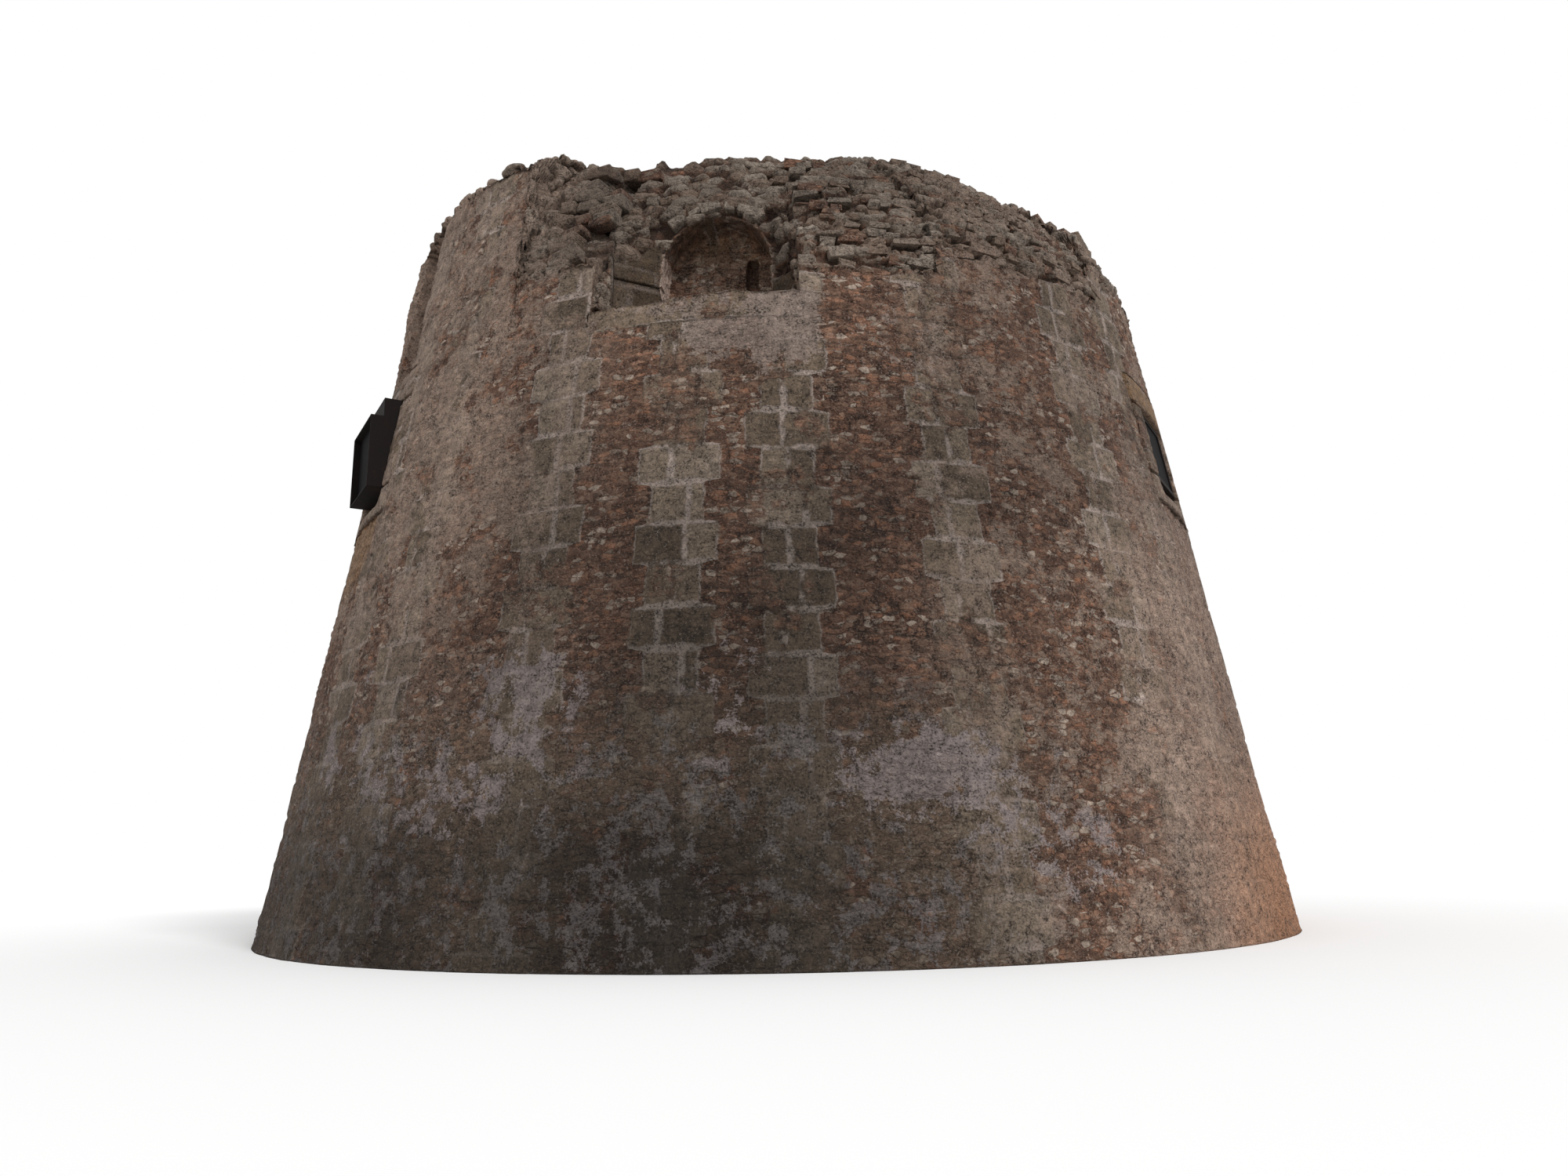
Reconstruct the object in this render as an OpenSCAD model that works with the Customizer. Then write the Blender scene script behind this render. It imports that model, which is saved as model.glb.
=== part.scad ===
// Ruined round coast tower of limestone: a battered drum whose rubble facing is bonded
// by toothed ashlar chains, round a domed chamber with three windows, under a broken top
// with a vaulted embrasure. Angles run round the axis from the front, -Y, towards +X.

/* [Tower] */
// Radius of the wall's foot
foot_r = 7550; // [7200:50:8000]
// Slope of the wall from the vertical, in degrees
batter = 9.3; // [8.5:0.1:10]
// Radius of the terrace behind the broken top
terrace_r = 3300; // [3000:50:3600]
// Thickness of the terrace's floor
terrace_t = 250; // [150:10:350]
// Height of the broken rim above the terrace
breast_h = 950; // [850:10:1100]

/* [Facing] */
// Thickness of the facing
facing_t = 420; // [300:10:500]
// Height of one ashlar course
course_h = 480; // [400:10:560]
// Width of the long blocks in a chain
long_w = 960; // [800:10:1100]
// Width of the short blocks in a chain
short_w = 620; // [500:10:760]
// How far the rubble lies behind the face of the ashlar
rubble_recess = 30; // [10:5:60]

/* [Chamber] */
// Radius of the round chamber
chamber_r = 3500; // [3200:50:3600]
// Level of the chamber's floor
floor_z = 4900; // [4600:50:5200]
// Thickness of the floor's paving
floor_t = 200; // [100:10:300]
// Rise of the dome above the window heads
dome_rise = 2300; // [2000:50:2500]
// Masonry over the top of the dome
dome_cover = 300; // [200:10:400]
// Thickness of the dome's ring at its foot
dome_t = 400; // [300:10:500]

/* [Windows] */
// Width of a window
window_w = 1200; // [900:10:1400]
// Height of a window's sill above the chamber's floor
sill_rise = 1170; // [1000:10:1300]
// Height of a window
window_h = 1030; // [900:10:1200]
// Height of a lintel
lintel_h = 450; // [350:10:550]
// Width of a jamb stone
jamb_w = 350; // [250:10:400]
// Height of a sill stone
sill_h = 420; // [350:10:500]
// Fall of the sill from the back of the facing to its face
sill_fall = 240; // [100:10:300]

/* [Steelwork] */
// Thickness of the steel sheet
sheet_t = 12; // [8:1:20]
// Depth of the bay's sleeve
bay_depth = 1000; // [800:10:1100]
// Depth of the pane behind the bay's face
pane_inset = 90; // [40:10:200]
// Depth of the stepped hood on the bay
hood_depth = 560; // [450:10:650]
// Height of the stepped hood
hood_h = 270; // [200:10:320]
// How far the hood steps back from the bay's face
hood_step = 170; // [100:10:250]
// Depth of a window screen behind the wall's face
screen_inset = 110; // [60:10:200]
// Width of a screen's frame bar
frame_bar = 70; // [50:5:100]
// Thickness of a screen's frame
frame_t = 50; // [40:5:80]
// Thickness of the glass
glass_t = 14; // [10:1:20]

/* [Embrasure] */
// How far the broken ledge lies below the terrace
ledge_fall = 2300; // [2250:10:2400]
// Height of the ashlar course that makes the ledge
ledge_h = 400; // [300:10:450]
// Width of the vaulted throat
throat_w = 1430; // [1200:10:1500]
// Height from the ledge to the springing of the vault
throat_h = 910; // [800:10:1000]
// Depth of the throat, from its arch to its back wall
throat_l = 500; // [420:10:550]
// Thickness of the back wall
back_wall_t = 300; // [200:10:350]
// Masonry between the back wall and the dome
back_fill = 500; // [450:10:600]
// Depth of the voussoirs on the face of the arch
voussoir_h = 260; // [200:10:300]
// Length of the voussoirs into the vault
voussoir_l = 320; // [250:10:400]
// Number of voussoirs
voussoir_count = 11; // [7:2:13]
// Width of the mortar joints between voussoirs
joint_w = 12; // [6:1:20]
// Thickness of the jamb facings
reveal_t = 280; // [200:10:320]

/* [Hidden] */
$fn = 480;

// Where the ashlar chains stand round the wall: the front ones as they are, the rest even
chain_angles = [
    -51, -40, -22.5, -9, 1.6, 18, 38, 50,
    70, 90, 108, 126, 144, 162, 180, 198, 216, 234, 252, 270, 290
];
chain_count = len(chain_angles);
// Chains at which the eight groups of the facing start
group_starts = [0, 2, 5, 8, 10, 13, 16, 18, chain_count];

// The windows, with the steel bay in the first
window_angles = [-60, 60, 180];
bay_angle = window_angles[0];
screen_angles = [window_angles[1], window_angles[2]];

// The broken top: where each of its sectors starts, and how far below the rim its facing breaks
sector_angles = [-70, -32, -20.6, 3.4, 20, 47, 70, 130, 210, 290];
break_drops = [600, 2600, 3250, 2900, 2450, 1700, 900, 550, 600];
ledge_sector = 2;
// How far the rubble of each sector bulges before it falls back to the rim
sector_bulges = [2, 1.6, 1.35, 1.6, 2, 4.5, 4, 4, 3];
// Masonry left between the terrace and the rim, by angle
rim_widths = [
    [-70, 1600], [-33, 1590], [-19, 870], [4, 700], [22, 980], [36, 1110],
    [47, 1310], [57, 1410], [90, 1550], [180, 1650], [290, 1600]
];
// Drop of the rim below its highest level, by angle
rim_drops = [[-70, 150], [-33, 0], [57, 60], [70, 250], [90, 200], [180, 100], [290, 150]];

embrasure_angle = -7.5;
// Angles at which the embrasure's splay opens at the wall's face
splay_left = sector_angles[ledge_sector] - embrasure_angle;
splay_right = sector_angles[ledge_sector + 1] - embrasure_angle;

full_turn = 360;
// Levels, from the chamber's floor up
bed_z = floor_z - floor_t;
sill_z = floor_z + sill_rise;
head_z = sill_z + window_h;
dome_top = head_z + dome_rise + dome_cover;
walk_z = dome_top + terrace_t;
rim_z = walk_z + breast_h;
ledge_z = walk_z - ledge_fall;
spring_z = ledge_z + throat_h;
sector_levels = [
    for (k = [0 : len(break_drops) - 1])
        k == ledge_sector ? ledge_z : rim_z - break_drops[k]
];
// The embrasure's floor lies a little lower than the ledge course in front of it
platform_drop = 20;
platform_z = ledge_z - platform_drop;
// Radii, from the dome out
dome_out = chamber_r + dome_t;
dome_radius = (chamber_r * chamber_r + dome_rise * dome_rise) / (2 * dome_rise);
niche_back_r = dome_out + back_fill + back_wall_t;
throat_r = niche_back_r + throat_l;
arch_r = throat_w / 2;
// Bounds past the whole tower, for cuts
near_r = 2500;
far_r = 9500;
far_z = 14000;
// Neighbouring cuts overlap by this angle, so that no sliver stays between them
overcut = 0.02;
// Cuts run this far past the faces they open
past = 1;
// Flat top of the facing in front of the ruin's slope
wall_lip = 80;
ruin_rough = 55;
slope_steps = 5;
station_step = 5.5;
small_fn = 96;
// Half the angle that a chain, a window's stones or a window's surround takes
chain_reach = 8;
stone_reach = 15;
surround_reach = 26;
apron_reach = 20;
// Each rubble panel is drawn this far in under the chains beside it
panel_overlap = 0.75;
// The first course of each chain starts below the foot, by shares of a course
first_drop = 0.25;
drop_spread = 0.5;
drop_turn = 0.37;
// The dressed block near the rim
block_angle = 61;
block_size = [620, 560, 350];
block_setback = 1730;
block_drop = 620;
block_r = terrace_r + block_setback;
block_z = rim_z - block_drop;
// Tops of the embrasure's jambs
left_jamb_z = sector_levels[ledge_sector - 1];
right_jamb_rise = 250;
right_jamb_z = sector_levels[ledge_sector + 1] + right_jamb_rise;
mouth_reach = 1500;
// The narrow slot in the embrasure's back wall, which doesn't go through
slot_w = 150;
slot_x = 330;
slot_sill = 150;
slot_h = 1100;
slot_back = 60;
// The bay's hood stands just clear of the facing's back
hood_gap = 3;
bay_face_r = core_r(head_z) + hood_gap + hood_depth + hood_step;
screen_l = window_h / cos(batter);

limestone = "#b8a98a";
rubble = "#8f6f55";
lime_floor = "#c9bda3";
dark_steel = "#2b2624";
glass = "#3a464b";

function face_r(z) = foot_r - z * tan(batter);
function core_r(z) = face_r(z) - facing_t;
function apart(a, b) = abs((a - b + 540) % full_turn - 180);
function at(a, r, z) = [r * sin(a), -r * cos(a), z];

// A slice of a round body between two angles
module slice(from_a, to_a, section) {
    rotate([0, 0, from_a - 90])
        rotate_extrude(angle = to_a - from_a)
            polygon(section);
}

// An outline drawn on the wall's face at one angle, pushed through the wall
module through_wall(a) {
    rotate([0, 0, a])
        translate([0, -near_r, 0])
            rotate([90, 0, 0])
                linear_extrude(far_r - near_r)
                    children();
}

// A centred rectangle on the wall's face
module panel_outline(w, low_z, high_z) {
    translate([-w / 2, low_z])
        square([w, high_z - low_z]);
}

// Level at which the facing breaks off in a sector
function facing_level(k) = k == ledge_sector ? ledge_z - ledge_h : sector_levels[k];

// What the ruin has lost from the facing between two angles
module lost_facing(from_a, to_a) {
    for (k = [0 : len(sector_levels) - 1])
        for (turn = [-full_turn, 0, full_turn])
            if (sector_angles[k] + turn < to_a && sector_angles[k + 1] + turn > from_a)
                slice(sector_angles[k] + turn - overcut, sector_angles[k + 1] + turn + overcut, [
                    [chamber_r, facing_level(k)], [far_r, facing_level(k)],
                    [far_r, far_z], [chamber_r, far_z]
                ]);
}

// Top of the opening in the facing, which is higher over the bay's hood
function outer_head(a) = a == bay_angle ? head_z + hood_h : head_z;

// The dressed surround of a window, with its opening, as one outline
module surround_outline(a) {
    panel_outline(window_w + 2 * jamb_w, outer_head(a), outer_head(a) + lintel_h);
    panel_outline(window_w + 2 * jamb_w, sill_z - sill_h, outer_head(a));
}

// Windows near an angle, and the groove that climbs from the bay to the top
module window_voids(a) {
    for (w = window_angles)
        if (apart(w, a) < surround_reach)
            through_wall(w)
                surround_outline(w);
    if (apart(bay_angle, a) < surround_reach)
        through_wall(bay_angle)
            panel_outline(window_w, head_z, far_z);
}

module facing_slice(from_a, to_a, recess = 0) {
    slice(from_a, to_a, [
        [core_r(0), 0], [face_r(0) - recess, 0],
        [face_r(rim_z) - recess, rim_z], [core_r(rim_z), rim_z]
    ]);
}

// Toothed outline of a chain: long and short blocks by turns
function tooth(course) = (course % 2 == 0 ? long_w : short_w) / 2;
module chain_outline(i) {
    start_z = -course_h * (first_drop + drop_spread * (i * drop_turn % 1));
    courses = ceil((rim_z - start_z) / course_h);
    side = [
        for (c = [0 : courses - 1])
            for (top = [0, 1])
                [tooth(c + i), start_z + (c + top) * course_h]
    ];
    polygon(concat(side, [for (j = [len(side) - 1 : -1 : 0]) [-side[j].x, side[j].y]]));
}

module ashlar_chain(i) {
    a = chain_angles[i];
    difference() {
        intersection() {
            facing_slice(a - chain_reach, a + chain_reach);
            through_wall(a)
                chain_outline(i);
        }
        lost_facing(a - chain_reach, a + chain_reach);
        window_voids(a);
    }
}

module rubble_panel(i) {
    from_a = chain_angles[i];
    to_a = i + 1 < chain_count ? chain_angles[i + 1] : chain_angles[0] + full_turn;
    difference() {
        facing_slice(from_a - panel_overlap, to_a + panel_overlap, rubble_recess);
        through_wall(from_a)
            chain_outline(i);
        through_wall(to_a)
            chain_outline((i + 1) % chain_count);
        lost_facing(from_a, to_a);
        window_voids((from_a + to_a) / 2);
    }
}

module ashlar_group(g) {
    color(limestone)
        for (i = [group_starts[g] : group_starts[g + 1] - 1])
            ashlar_chain(i);
}

module rubble_group(g) {
    color(rubble)
        for (i = [group_starts[g] : group_starts[g + 1] - 1])
            rubble_panel(i);
}

// Inner masonry
module foundation_mass() {
    color(rubble)
        cylinder(h = bed_z, r1 = core_r(0), r2 = core_r(bed_z));
}

module chamber_floor() {
    color(lime_floor)
        translate([0, 0, bed_z])
            cylinder(h = floor_t, r = chamber_r);
}

module wall_slice(from_a, to_a, top_z) {
    slice(from_a, to_a, [
        [chamber_r, bed_z], [core_r(bed_z), bed_z],
        [core_r(top_z), top_z], [chamber_r, top_z]
    ]);
}

module chamber_wall(from_a, to_a) {
    color(rubble)
        difference() {
            wall_slice(from_a, to_a, head_z);
            for (a = [from_a, to_a])
                through_wall(a)
                    panel_outline(window_w, 0, far_z);
        }
}

module window_aprons() {
    color(rubble)
        for (a = window_angles)
            intersection() {
                wall_slice(a - apron_reach, a + apron_reach, sill_z);
                through_wall(a)
                    panel_outline(window_w, 0, far_z);
            }
}

module dome() {
    color(limestone)
        difference() {
            translate([0, 0, head_z])
                cylinder(h = dome_top - head_z, r = dome_out);
            translate([0, 0, head_z + dome_rise - dome_radius])
                sphere(r = dome_radius);
        }
}

module terrace() {
    color(lime_floor)
        translate([0, 0, dome_top])
            cylinder(h = terrace_t, r = terrace_r);
}

// The broken top, one sector at a time
function rim_level(a) = rim_z - lookup(a, rim_drops);
function rough(a, i) = ruin_rough * sin(a * 23 + i * 67) * sin(a * 11 - i * 41);
function slope_point(a, k, i) =
    let (level = sector_levels[k])
    let (t = i / slope_steps)
    let (start = face_r(level) - wall_lip)
    let (wear = i < slope_steps ? rough(a, i) : 0)
    [
        start + (terrace_r + lookup(a, rim_widths) - start) * pow(t, sector_bulges[k]) + wear,
        level + t * (rim_level(a) - level)
    ];
function crown_section(a, k, inner, walk) = concat(
    [
        [inner, head_z], [core_r(head_z), head_z],
        [core_r(sector_levels[k]), sector_levels[k]],
        [face_r(sector_levels[k]) - wall_lip, sector_levels[k]]
    ],
    [for (i = [1 : slope_steps]) slope_point(a, k, i)],
    [[walk, rim_level(a)], [walk, dome_top], [inner, dome_top]]
);

module crown_mass(k) {
    from_a = sector_angles[k];
    span = sector_angles[k + 1] - from_a;
    stations = ceil(span / station_step);
    step = span / stations;
    // The inner faces are flat, so they stand clear of the round dome and terrace
    inner = dome_out / cos(step / 2);
    walk = terrace_r / cos(step / 2);
    sections = [for (j = [0 : stations]) crown_section(from_a + j * step, k, inner, walk)];
    n = len(sections[0]);
    points = [
        for (j = [0 : stations])
            for (p = sections[j])
                at(from_a + j * step, p.x, p.y)
    ];
    sides = [
        for (j = [0 : stations - 1])
            for (i = [0 : n - 1])
                let (a = j * n + i)
                let (b = j * n + (i + 1) % n)
                each [[a, b, b + n], [a, b + n, a + n]]
    ];
    ends = [
        [for (i = [n - 1 : -1 : 0]) i],
        [for (i = [0 : n - 1]) stations * n + i]
    ];
    polyhedron(points, concat(sides, ends));
}

module crown(k) {
    color(rubble)
        crown_mass(k);
}

// Points of the embrasure's plan, seen in its own direction
throat_left = [-arch_r, -throat_r];
throat_right = [arch_r, -throat_r];
mouth_r = core_r(max(left_jamb_z, right_jamb_z));
mouth_left = [mouth_r * sin(splay_left), -mouth_r * cos(splay_left)];
mouth_right = [mouth_r * sin(splay_right), -mouth_r * cos(splay_right)];
outward = [0, -mouth_reach];

module embrasure_place() {
    rotate([0, 0, embrasure_angle])
        children();
}

module throat_outline() {
    panel_outline(throat_w, platform_z, spring_z);
    translate([0, spring_z])
        circle(r = arch_r, $fn = small_fn);
}

// Step from a side of the splay to the back of the facing behind it
function behind(inner, outer, side) =
    let (along = (outer - inner) / norm(outer - inner))
    side * reveal_t * [-along.y, along.x];
left_behind = behind(throat_left, mouth_left, -1);
right_behind = behind(throat_right, mouth_right, 1);

module splay_plan() {
    polygon([
        throat_left, mouth_left, mouth_left + outward,
        mouth_right + outward, mouth_right, throat_right
    ]);
}

module left_jamb_plan() {
    polygon([throat_left, mouth_left, mouth_left + left_behind, throat_left + left_behind]);
}

module right_jamb_plan() {
    polygon([throat_right, mouth_right, mouth_right + right_behind, throat_right + right_behind]);
}

module jamb_body(top_z) {
    embrasure_place()
        translate([0, 0, platform_z])
            linear_extrude(top_z - platform_z)
                children();
}

module crown_front() {
    color(rubble)
        difference() {
            crown_mass(ledge_sector);
            jamb_body(far_z)
                splay_plan();
            jamb_body(left_jamb_z)
                left_jamb_plan();
            jamb_body(right_jamb_z)
                right_jamb_plan();
            embrasure_place()
                translate([0, -niche_back_r + back_wall_t, 0])
                    rotate([90, 0, 0])
                        linear_extrude(throat_l + back_wall_t + past)
                            throat_outline();
            voussoir_bed();
        }
}

module crown_step() {
    color(rubble)
        difference() {
            crown_mass(ledge_sector - 1);
            jamb_body(left_jamb_z)
                left_jamb_plan();
        }
}

module crown_centre() {
    color(rubble)
        difference() {
            crown_mass(ledge_sector + 1);
            jamb_body(right_jamb_z)
                right_jamb_plan();
            voussoir_bed();
        }
}

// The half ring in which the voussoirs sit
module voussoir_bed() {
    embrasure_place()
        translate([0, -throat_r + voussoir_l, 0])
            rotate([90, 0, 0])
                linear_extrude(voussoir_l + past)
                    intersection() {
                        translate([0, spring_z])
                            circle(r = arch_r + voussoir_h, $fn = small_fn);
                        translate([-far_r, spring_z])
                            square([2 * far_r, far_r]);
                    }
}

module embrasure_back_wall() {
    color(rubble)
        embrasure_place()
            difference() {
                translate([0, -niche_back_r + back_wall_t, 0])
                    rotate([90, 0, 0])
                        linear_extrude(back_wall_t)
                            throat_outline();
                translate([slot_x, -niche_back_r - past, platform_z + slot_sill])
                    cube([slot_w, back_wall_t - slot_back, slot_h]);
            }
}

module embrasure_arch() {
    step = 180 / voussoir_count;
    gap = joint_w / arch_r * 180 / PI;
    color(limestone)
        embrasure_place()
            translate([0, -throat_r + voussoir_l, spring_z])
                rotate([90, 0, 0])
                    for (v = [0 : voussoir_count - 1])
                        rotate([0, 0, v * step + gap / 2])
                            rotate_extrude(angle = step - gap)
                                translate([arch_r, 0])
                                    square([voussoir_h, voussoir_l]);
}

module embrasure_left_jamb() {
    color(limestone)
        jamb_body(left_jamb_z)
            left_jamb_plan();
}

module embrasure_right_jamb() {
    color(limestone)
        jamb_body(right_jamb_z)
            right_jamb_plan();
}

module ledge_course() {
    color(limestone)
        slice(sector_angles[ledge_sector], sector_angles[ledge_sector + 1], [
            [core_r(ledge_z - ledge_h), ledge_z - ledge_h],
            [face_r(ledge_z - ledge_h), ledge_z - ledge_h],
            [face_r(ledge_z), ledge_z], [core_r(ledge_z), ledge_z]
        ]);
}

// The one dressed block left near the rim on the right
module block_place() {
    rotate([0, 0, block_angle])
        translate([-block_size.x / 2, -block_r - block_size.y, block_z])
            children();
}

module rim_block() {
    color(limestone)
        block_place()
            cube(block_size);
}

module crown_limb() {
    color(rubble)
        difference() {
            crown_mass(5);
            block_place()
                cube([block_size.x, block_size.y, far_z]);
        }
}

// Window dressings, cut to the wall's face
module surround_stone(a) {
    intersection() {
        facing_slice(a - stone_reach, a + stone_reach);
        through_wall(a)
            children();
    }
}

module window_lintels() {
    color(limestone)
        for (a = window_angles)
            surround_stone(a)
                panel_outline(window_w + 2 * jamb_w, outer_head(a), outer_head(a) + lintel_h);
}

module window_jambs() {
    color(limestone)
        for (a = window_angles)
            for (side = [-1, 1])
                surround_stone(a)
                    translate([side * (window_w + jamb_w) / 2, 0])
                        panel_outline(jamb_w, sill_z, outer_head(a));
}

module window_sills() {
    color(limestone)
        for (a = window_angles)
            difference() {
                surround_stone(a)
                    panel_outline(window_w + 2 * jamb_w, sill_z - sill_h, sill_z);
                rotate([0, 0, a])
                    rotate([90, 0, -90])
                        translate([core_r(sill_z), 0, -window_w / 2])
                            linear_extrude(window_w)
                                polygon([
                                    [0, sill_z],
                                    [facing_t, sill_z - sill_fall],
                                    [far_r, sill_z - sill_fall],
                                    [far_r, sill_z + sill_fall],
                                    [0, sill_z + sill_fall]
                                ]);
            }
}

// Steel bay in the left window: an open sleeve, a stepped hood and a pane
module bay_box(front_r, depth, w, low_z, high_z) {
    rotate([0, 0, bay_angle])
        translate([-w / 2, -front_r, low_z])
            cube([w, depth, high_z - low_z]);
}

module bay_sleeve() {
    color(dark_steel)
        difference() {
            bay_box(bay_face_r, bay_depth, window_w, sill_z, head_z);
            bay_box(
                bay_face_r + past, bay_depth + 2 * past,
                window_w - 2 * sheet_t, sill_z + sheet_t, head_z - sheet_t
            );
        }
}

module bay_hood() {
    color(dark_steel)
        difference() {
            bay_box(bay_face_r - hood_step, hood_depth, window_w, head_z, head_z + hood_h);
            bay_box(
                bay_face_r - hood_step - sheet_t, hood_depth - 2 * sheet_t,
                window_w - 2 * sheet_t, head_z - past, head_z + hood_h - sheet_t
            );
        }
}

module bay_glass() {
    color(glass, 0.5)
        bay_box(
            bay_face_r - pane_inset, glass_t,
            window_w - 2 * sheet_t, sill_z + sheet_t, head_z - sheet_t
        );
}

// A slab that lies in the wall's slope behind a window's face
module screen_slab(a, t, trim) {
    rotate([0, 0, a])
        translate([-window_w / 2 + trim, -face_r(sill_z) + screen_inset, sill_z])
            rotate([-batter, 0, 0])
                translate([0, -t / 2, trim])
                    cube([window_w - 2 * trim, t, screen_l - 2 * trim]);
}

module screen_frames() {
    color(dark_steel)
        for (a = screen_angles)
            difference() {
                screen_slab(a, frame_t, 0);
                screen_slab(a, 2 * frame_t, frame_bar);
            }
}

module screen_glass() {
    color(glass, 0.5)
        for (a = screen_angles)
            screen_slab(a, glass_t, frame_bar);
}

foundation_mass();
chamber_floor();
chamber_wall(window_angles[0], window_angles[1]);  // chamber_wall_front
chamber_wall(window_angles[1], window_angles[2]);  // chamber_wall_right
chamber_wall(window_angles[2], window_angles[0] + full_turn);  // chamber_wall_left
window_aprons();
dome();
terrace();
crown(0);  // crown_left
crown_step();
crown_front();
crown_centre();
crown(4);  // crown_right
crown_limb();
crown(6);  // crown_back_right
crown(7);  // crown_back
crown(8);  // crown_back_left
embrasure_back_wall();
embrasure_arch();
embrasure_left_jamb();
embrasure_right_jamb();
ledge_course();
rim_block();
ashlar_group(0);  // ashlar_front_left
ashlar_group(1);  // ashlar_front
ashlar_group(2);  // ashlar_front_right
ashlar_group(3);  // ashlar_right
ashlar_group(4);  // ashlar_back_right
ashlar_group(5);  // ashlar_back
ashlar_group(6);  // ashlar_back_left
ashlar_group(7);  // ashlar_left
rubble_group(0);  // rubble_front_left
rubble_group(1);  // rubble_front
rubble_group(2);  // rubble_front_right
rubble_group(3);  // rubble_right
rubble_group(4);  // rubble_back_right
rubble_group(5);  // rubble_back
rubble_group(6);  // rubble_back_left
rubble_group(7);  // rubble_left
window_lintels();
window_jambs();
window_sills();
bay_sleeve();
bay_hood();
bay_glass();
screen_frames();
screen_glass();
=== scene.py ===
import math

import bmesh
import bpy
import numpy as np
from mathutils import Matrix, Vector


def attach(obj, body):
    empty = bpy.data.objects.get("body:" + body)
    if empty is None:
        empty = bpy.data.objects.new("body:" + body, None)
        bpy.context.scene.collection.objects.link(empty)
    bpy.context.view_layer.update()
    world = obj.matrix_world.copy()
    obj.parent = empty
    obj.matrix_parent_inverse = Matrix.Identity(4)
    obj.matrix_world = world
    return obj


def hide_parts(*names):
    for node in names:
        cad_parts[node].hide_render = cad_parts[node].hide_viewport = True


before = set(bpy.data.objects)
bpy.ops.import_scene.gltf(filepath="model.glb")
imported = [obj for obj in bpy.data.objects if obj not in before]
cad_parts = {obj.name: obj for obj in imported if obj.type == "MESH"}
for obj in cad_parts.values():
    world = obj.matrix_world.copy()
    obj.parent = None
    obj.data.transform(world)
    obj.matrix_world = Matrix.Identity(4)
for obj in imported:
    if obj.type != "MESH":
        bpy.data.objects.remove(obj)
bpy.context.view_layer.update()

# The camera
# It stands in front of the tower at about eye level and looks up at the wall. The picture is
# 2000 pixels wide and leans a degree.
CAMERA_PLACE = (0, -18.8, 1.07)
CAMERA_PITCH = math.radians(13.1)
CAMERA_YAW = math.radians(0.55)
CAMERA_ROLL = math.radians(1.0)
camera_data = bpy.data.cameras.new("camera")
camera_data.sensor_width = 36
camera_data.lens = 26.42
camera = bpy.data.objects.new("camera", camera_data)
bpy.context.scene.collection.objects.link(camera)
camera.matrix_world = (
    Matrix.Translation(CAMERA_PLACE)
    @ Matrix.Rotation(-CAMERA_YAW, 4, "Z")
    @ Matrix.Rotation(math.pi / 2 + CAMERA_PITCH, 4, "X")
    @ Matrix.Rotation(-CAMERA_ROLL, 4, "Z")
)
bpy.context.scene.camera = camera

# The outer wall
# A battered skin of rubble in red-brown earth mortar, bonded by toothed vertical chains of
# dressed limestone. The skin has fallen from the top, where the rubble core slopes back to a
# ragged rim. Each length of it runs from the foot to the rim, with the core behind.
FOOT_RADIUS = 7.55
BATTER = math.tan(math.radians(9.3))
MEAN_RADIUS = 6.8
SKIN = 0.42
LIP = 0.08
CHAMBER_HEAD = 7.1
DOME_RADIUS = 3.9
DOME_TOP = 9.7
WALK_RADIUS = 3.3
WALK_LEVEL = 9.9
RIM = 10.9
# How far the stone stays inside the foot's circle and under the rim
CLEAR = 0.002
COURSE = 0.48
LONG_BLOCK = 0.96
SHORT_BLOCK = 0.62
CHAINS = [-51, -40, -22.5, -9, 1.6, 18, 38, 50] + [70] + list(range(90, 271, 18)) + [290]
# Angles left of this one count as the far end of the round
FIRST_ANGLE = -69
# Where a chain's first course starts below the foot, as shares of a course
FIRST_DROP, DROP_SPREAD, DROP_TURN = 0.25, 0.5, 0.37
RAGGED = 0.045
# How wide stones are, how flat, and the seed of their places
SMALL_STONES = (0.19, 0.55, 41)
ROUND_STONES = (0.29, 0.62, 61)
FLAT_STONES = (0.27, 0.42, 63)
# Cells of the core with a number under these are left as earth
BARE_EARTH = (0.24, 0.3)
LEDGE = 7.65
LEDGE_FOOT = 7.25
LEDGE_RADIUS = 6.3
LEDGE_JOINT = -1
WINDOW_WIDTH = 1.2
BAY_ANGLE = -60
# Where each stretch of the broken top starts, its level, and how the rubble bulges behind it
BREAK_ANGLES = [-70, -32, -20.6, 3.4, 20, 47, 70, 130, 210, 290]
BREAK_LEVELS = [10.3, 8.3, LEDGE, 8.0, 8.45, 9.1, 9.5, 10.35, 10.3]
BULGES = [2, 1.6, 1.35, 1.6, 1.7, 1.8, 3, 4, 3]
STEP_WIDTH = 0.35
RIM_ANGLES = [-70, -33, -19, 4, 22, 36, 47, 57, 90, 180, 290]
RIM_RADII = [4.9, 4.89, 4.17, 4.0, 4.28, 4.41, 4.61, 4.71, 4.85, 4.95, 4.9]
DROP_ANGLES = [-70, -33, -22, -12, 30, 42, 50, 60, 70, 90, 180, 290]
DROPS = [0.15, 0.16, 0.14, 0.0, 0.05, 0.16, 0.25, 0.45, 0.6, 0.4, 0.1, 0.15]
ROUGHNESS = 0.055
LEDGE_LEFT = BREAK_ANGLES[2]
LEDGE_RIGHT = BREAK_ANGLES[3]
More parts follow.
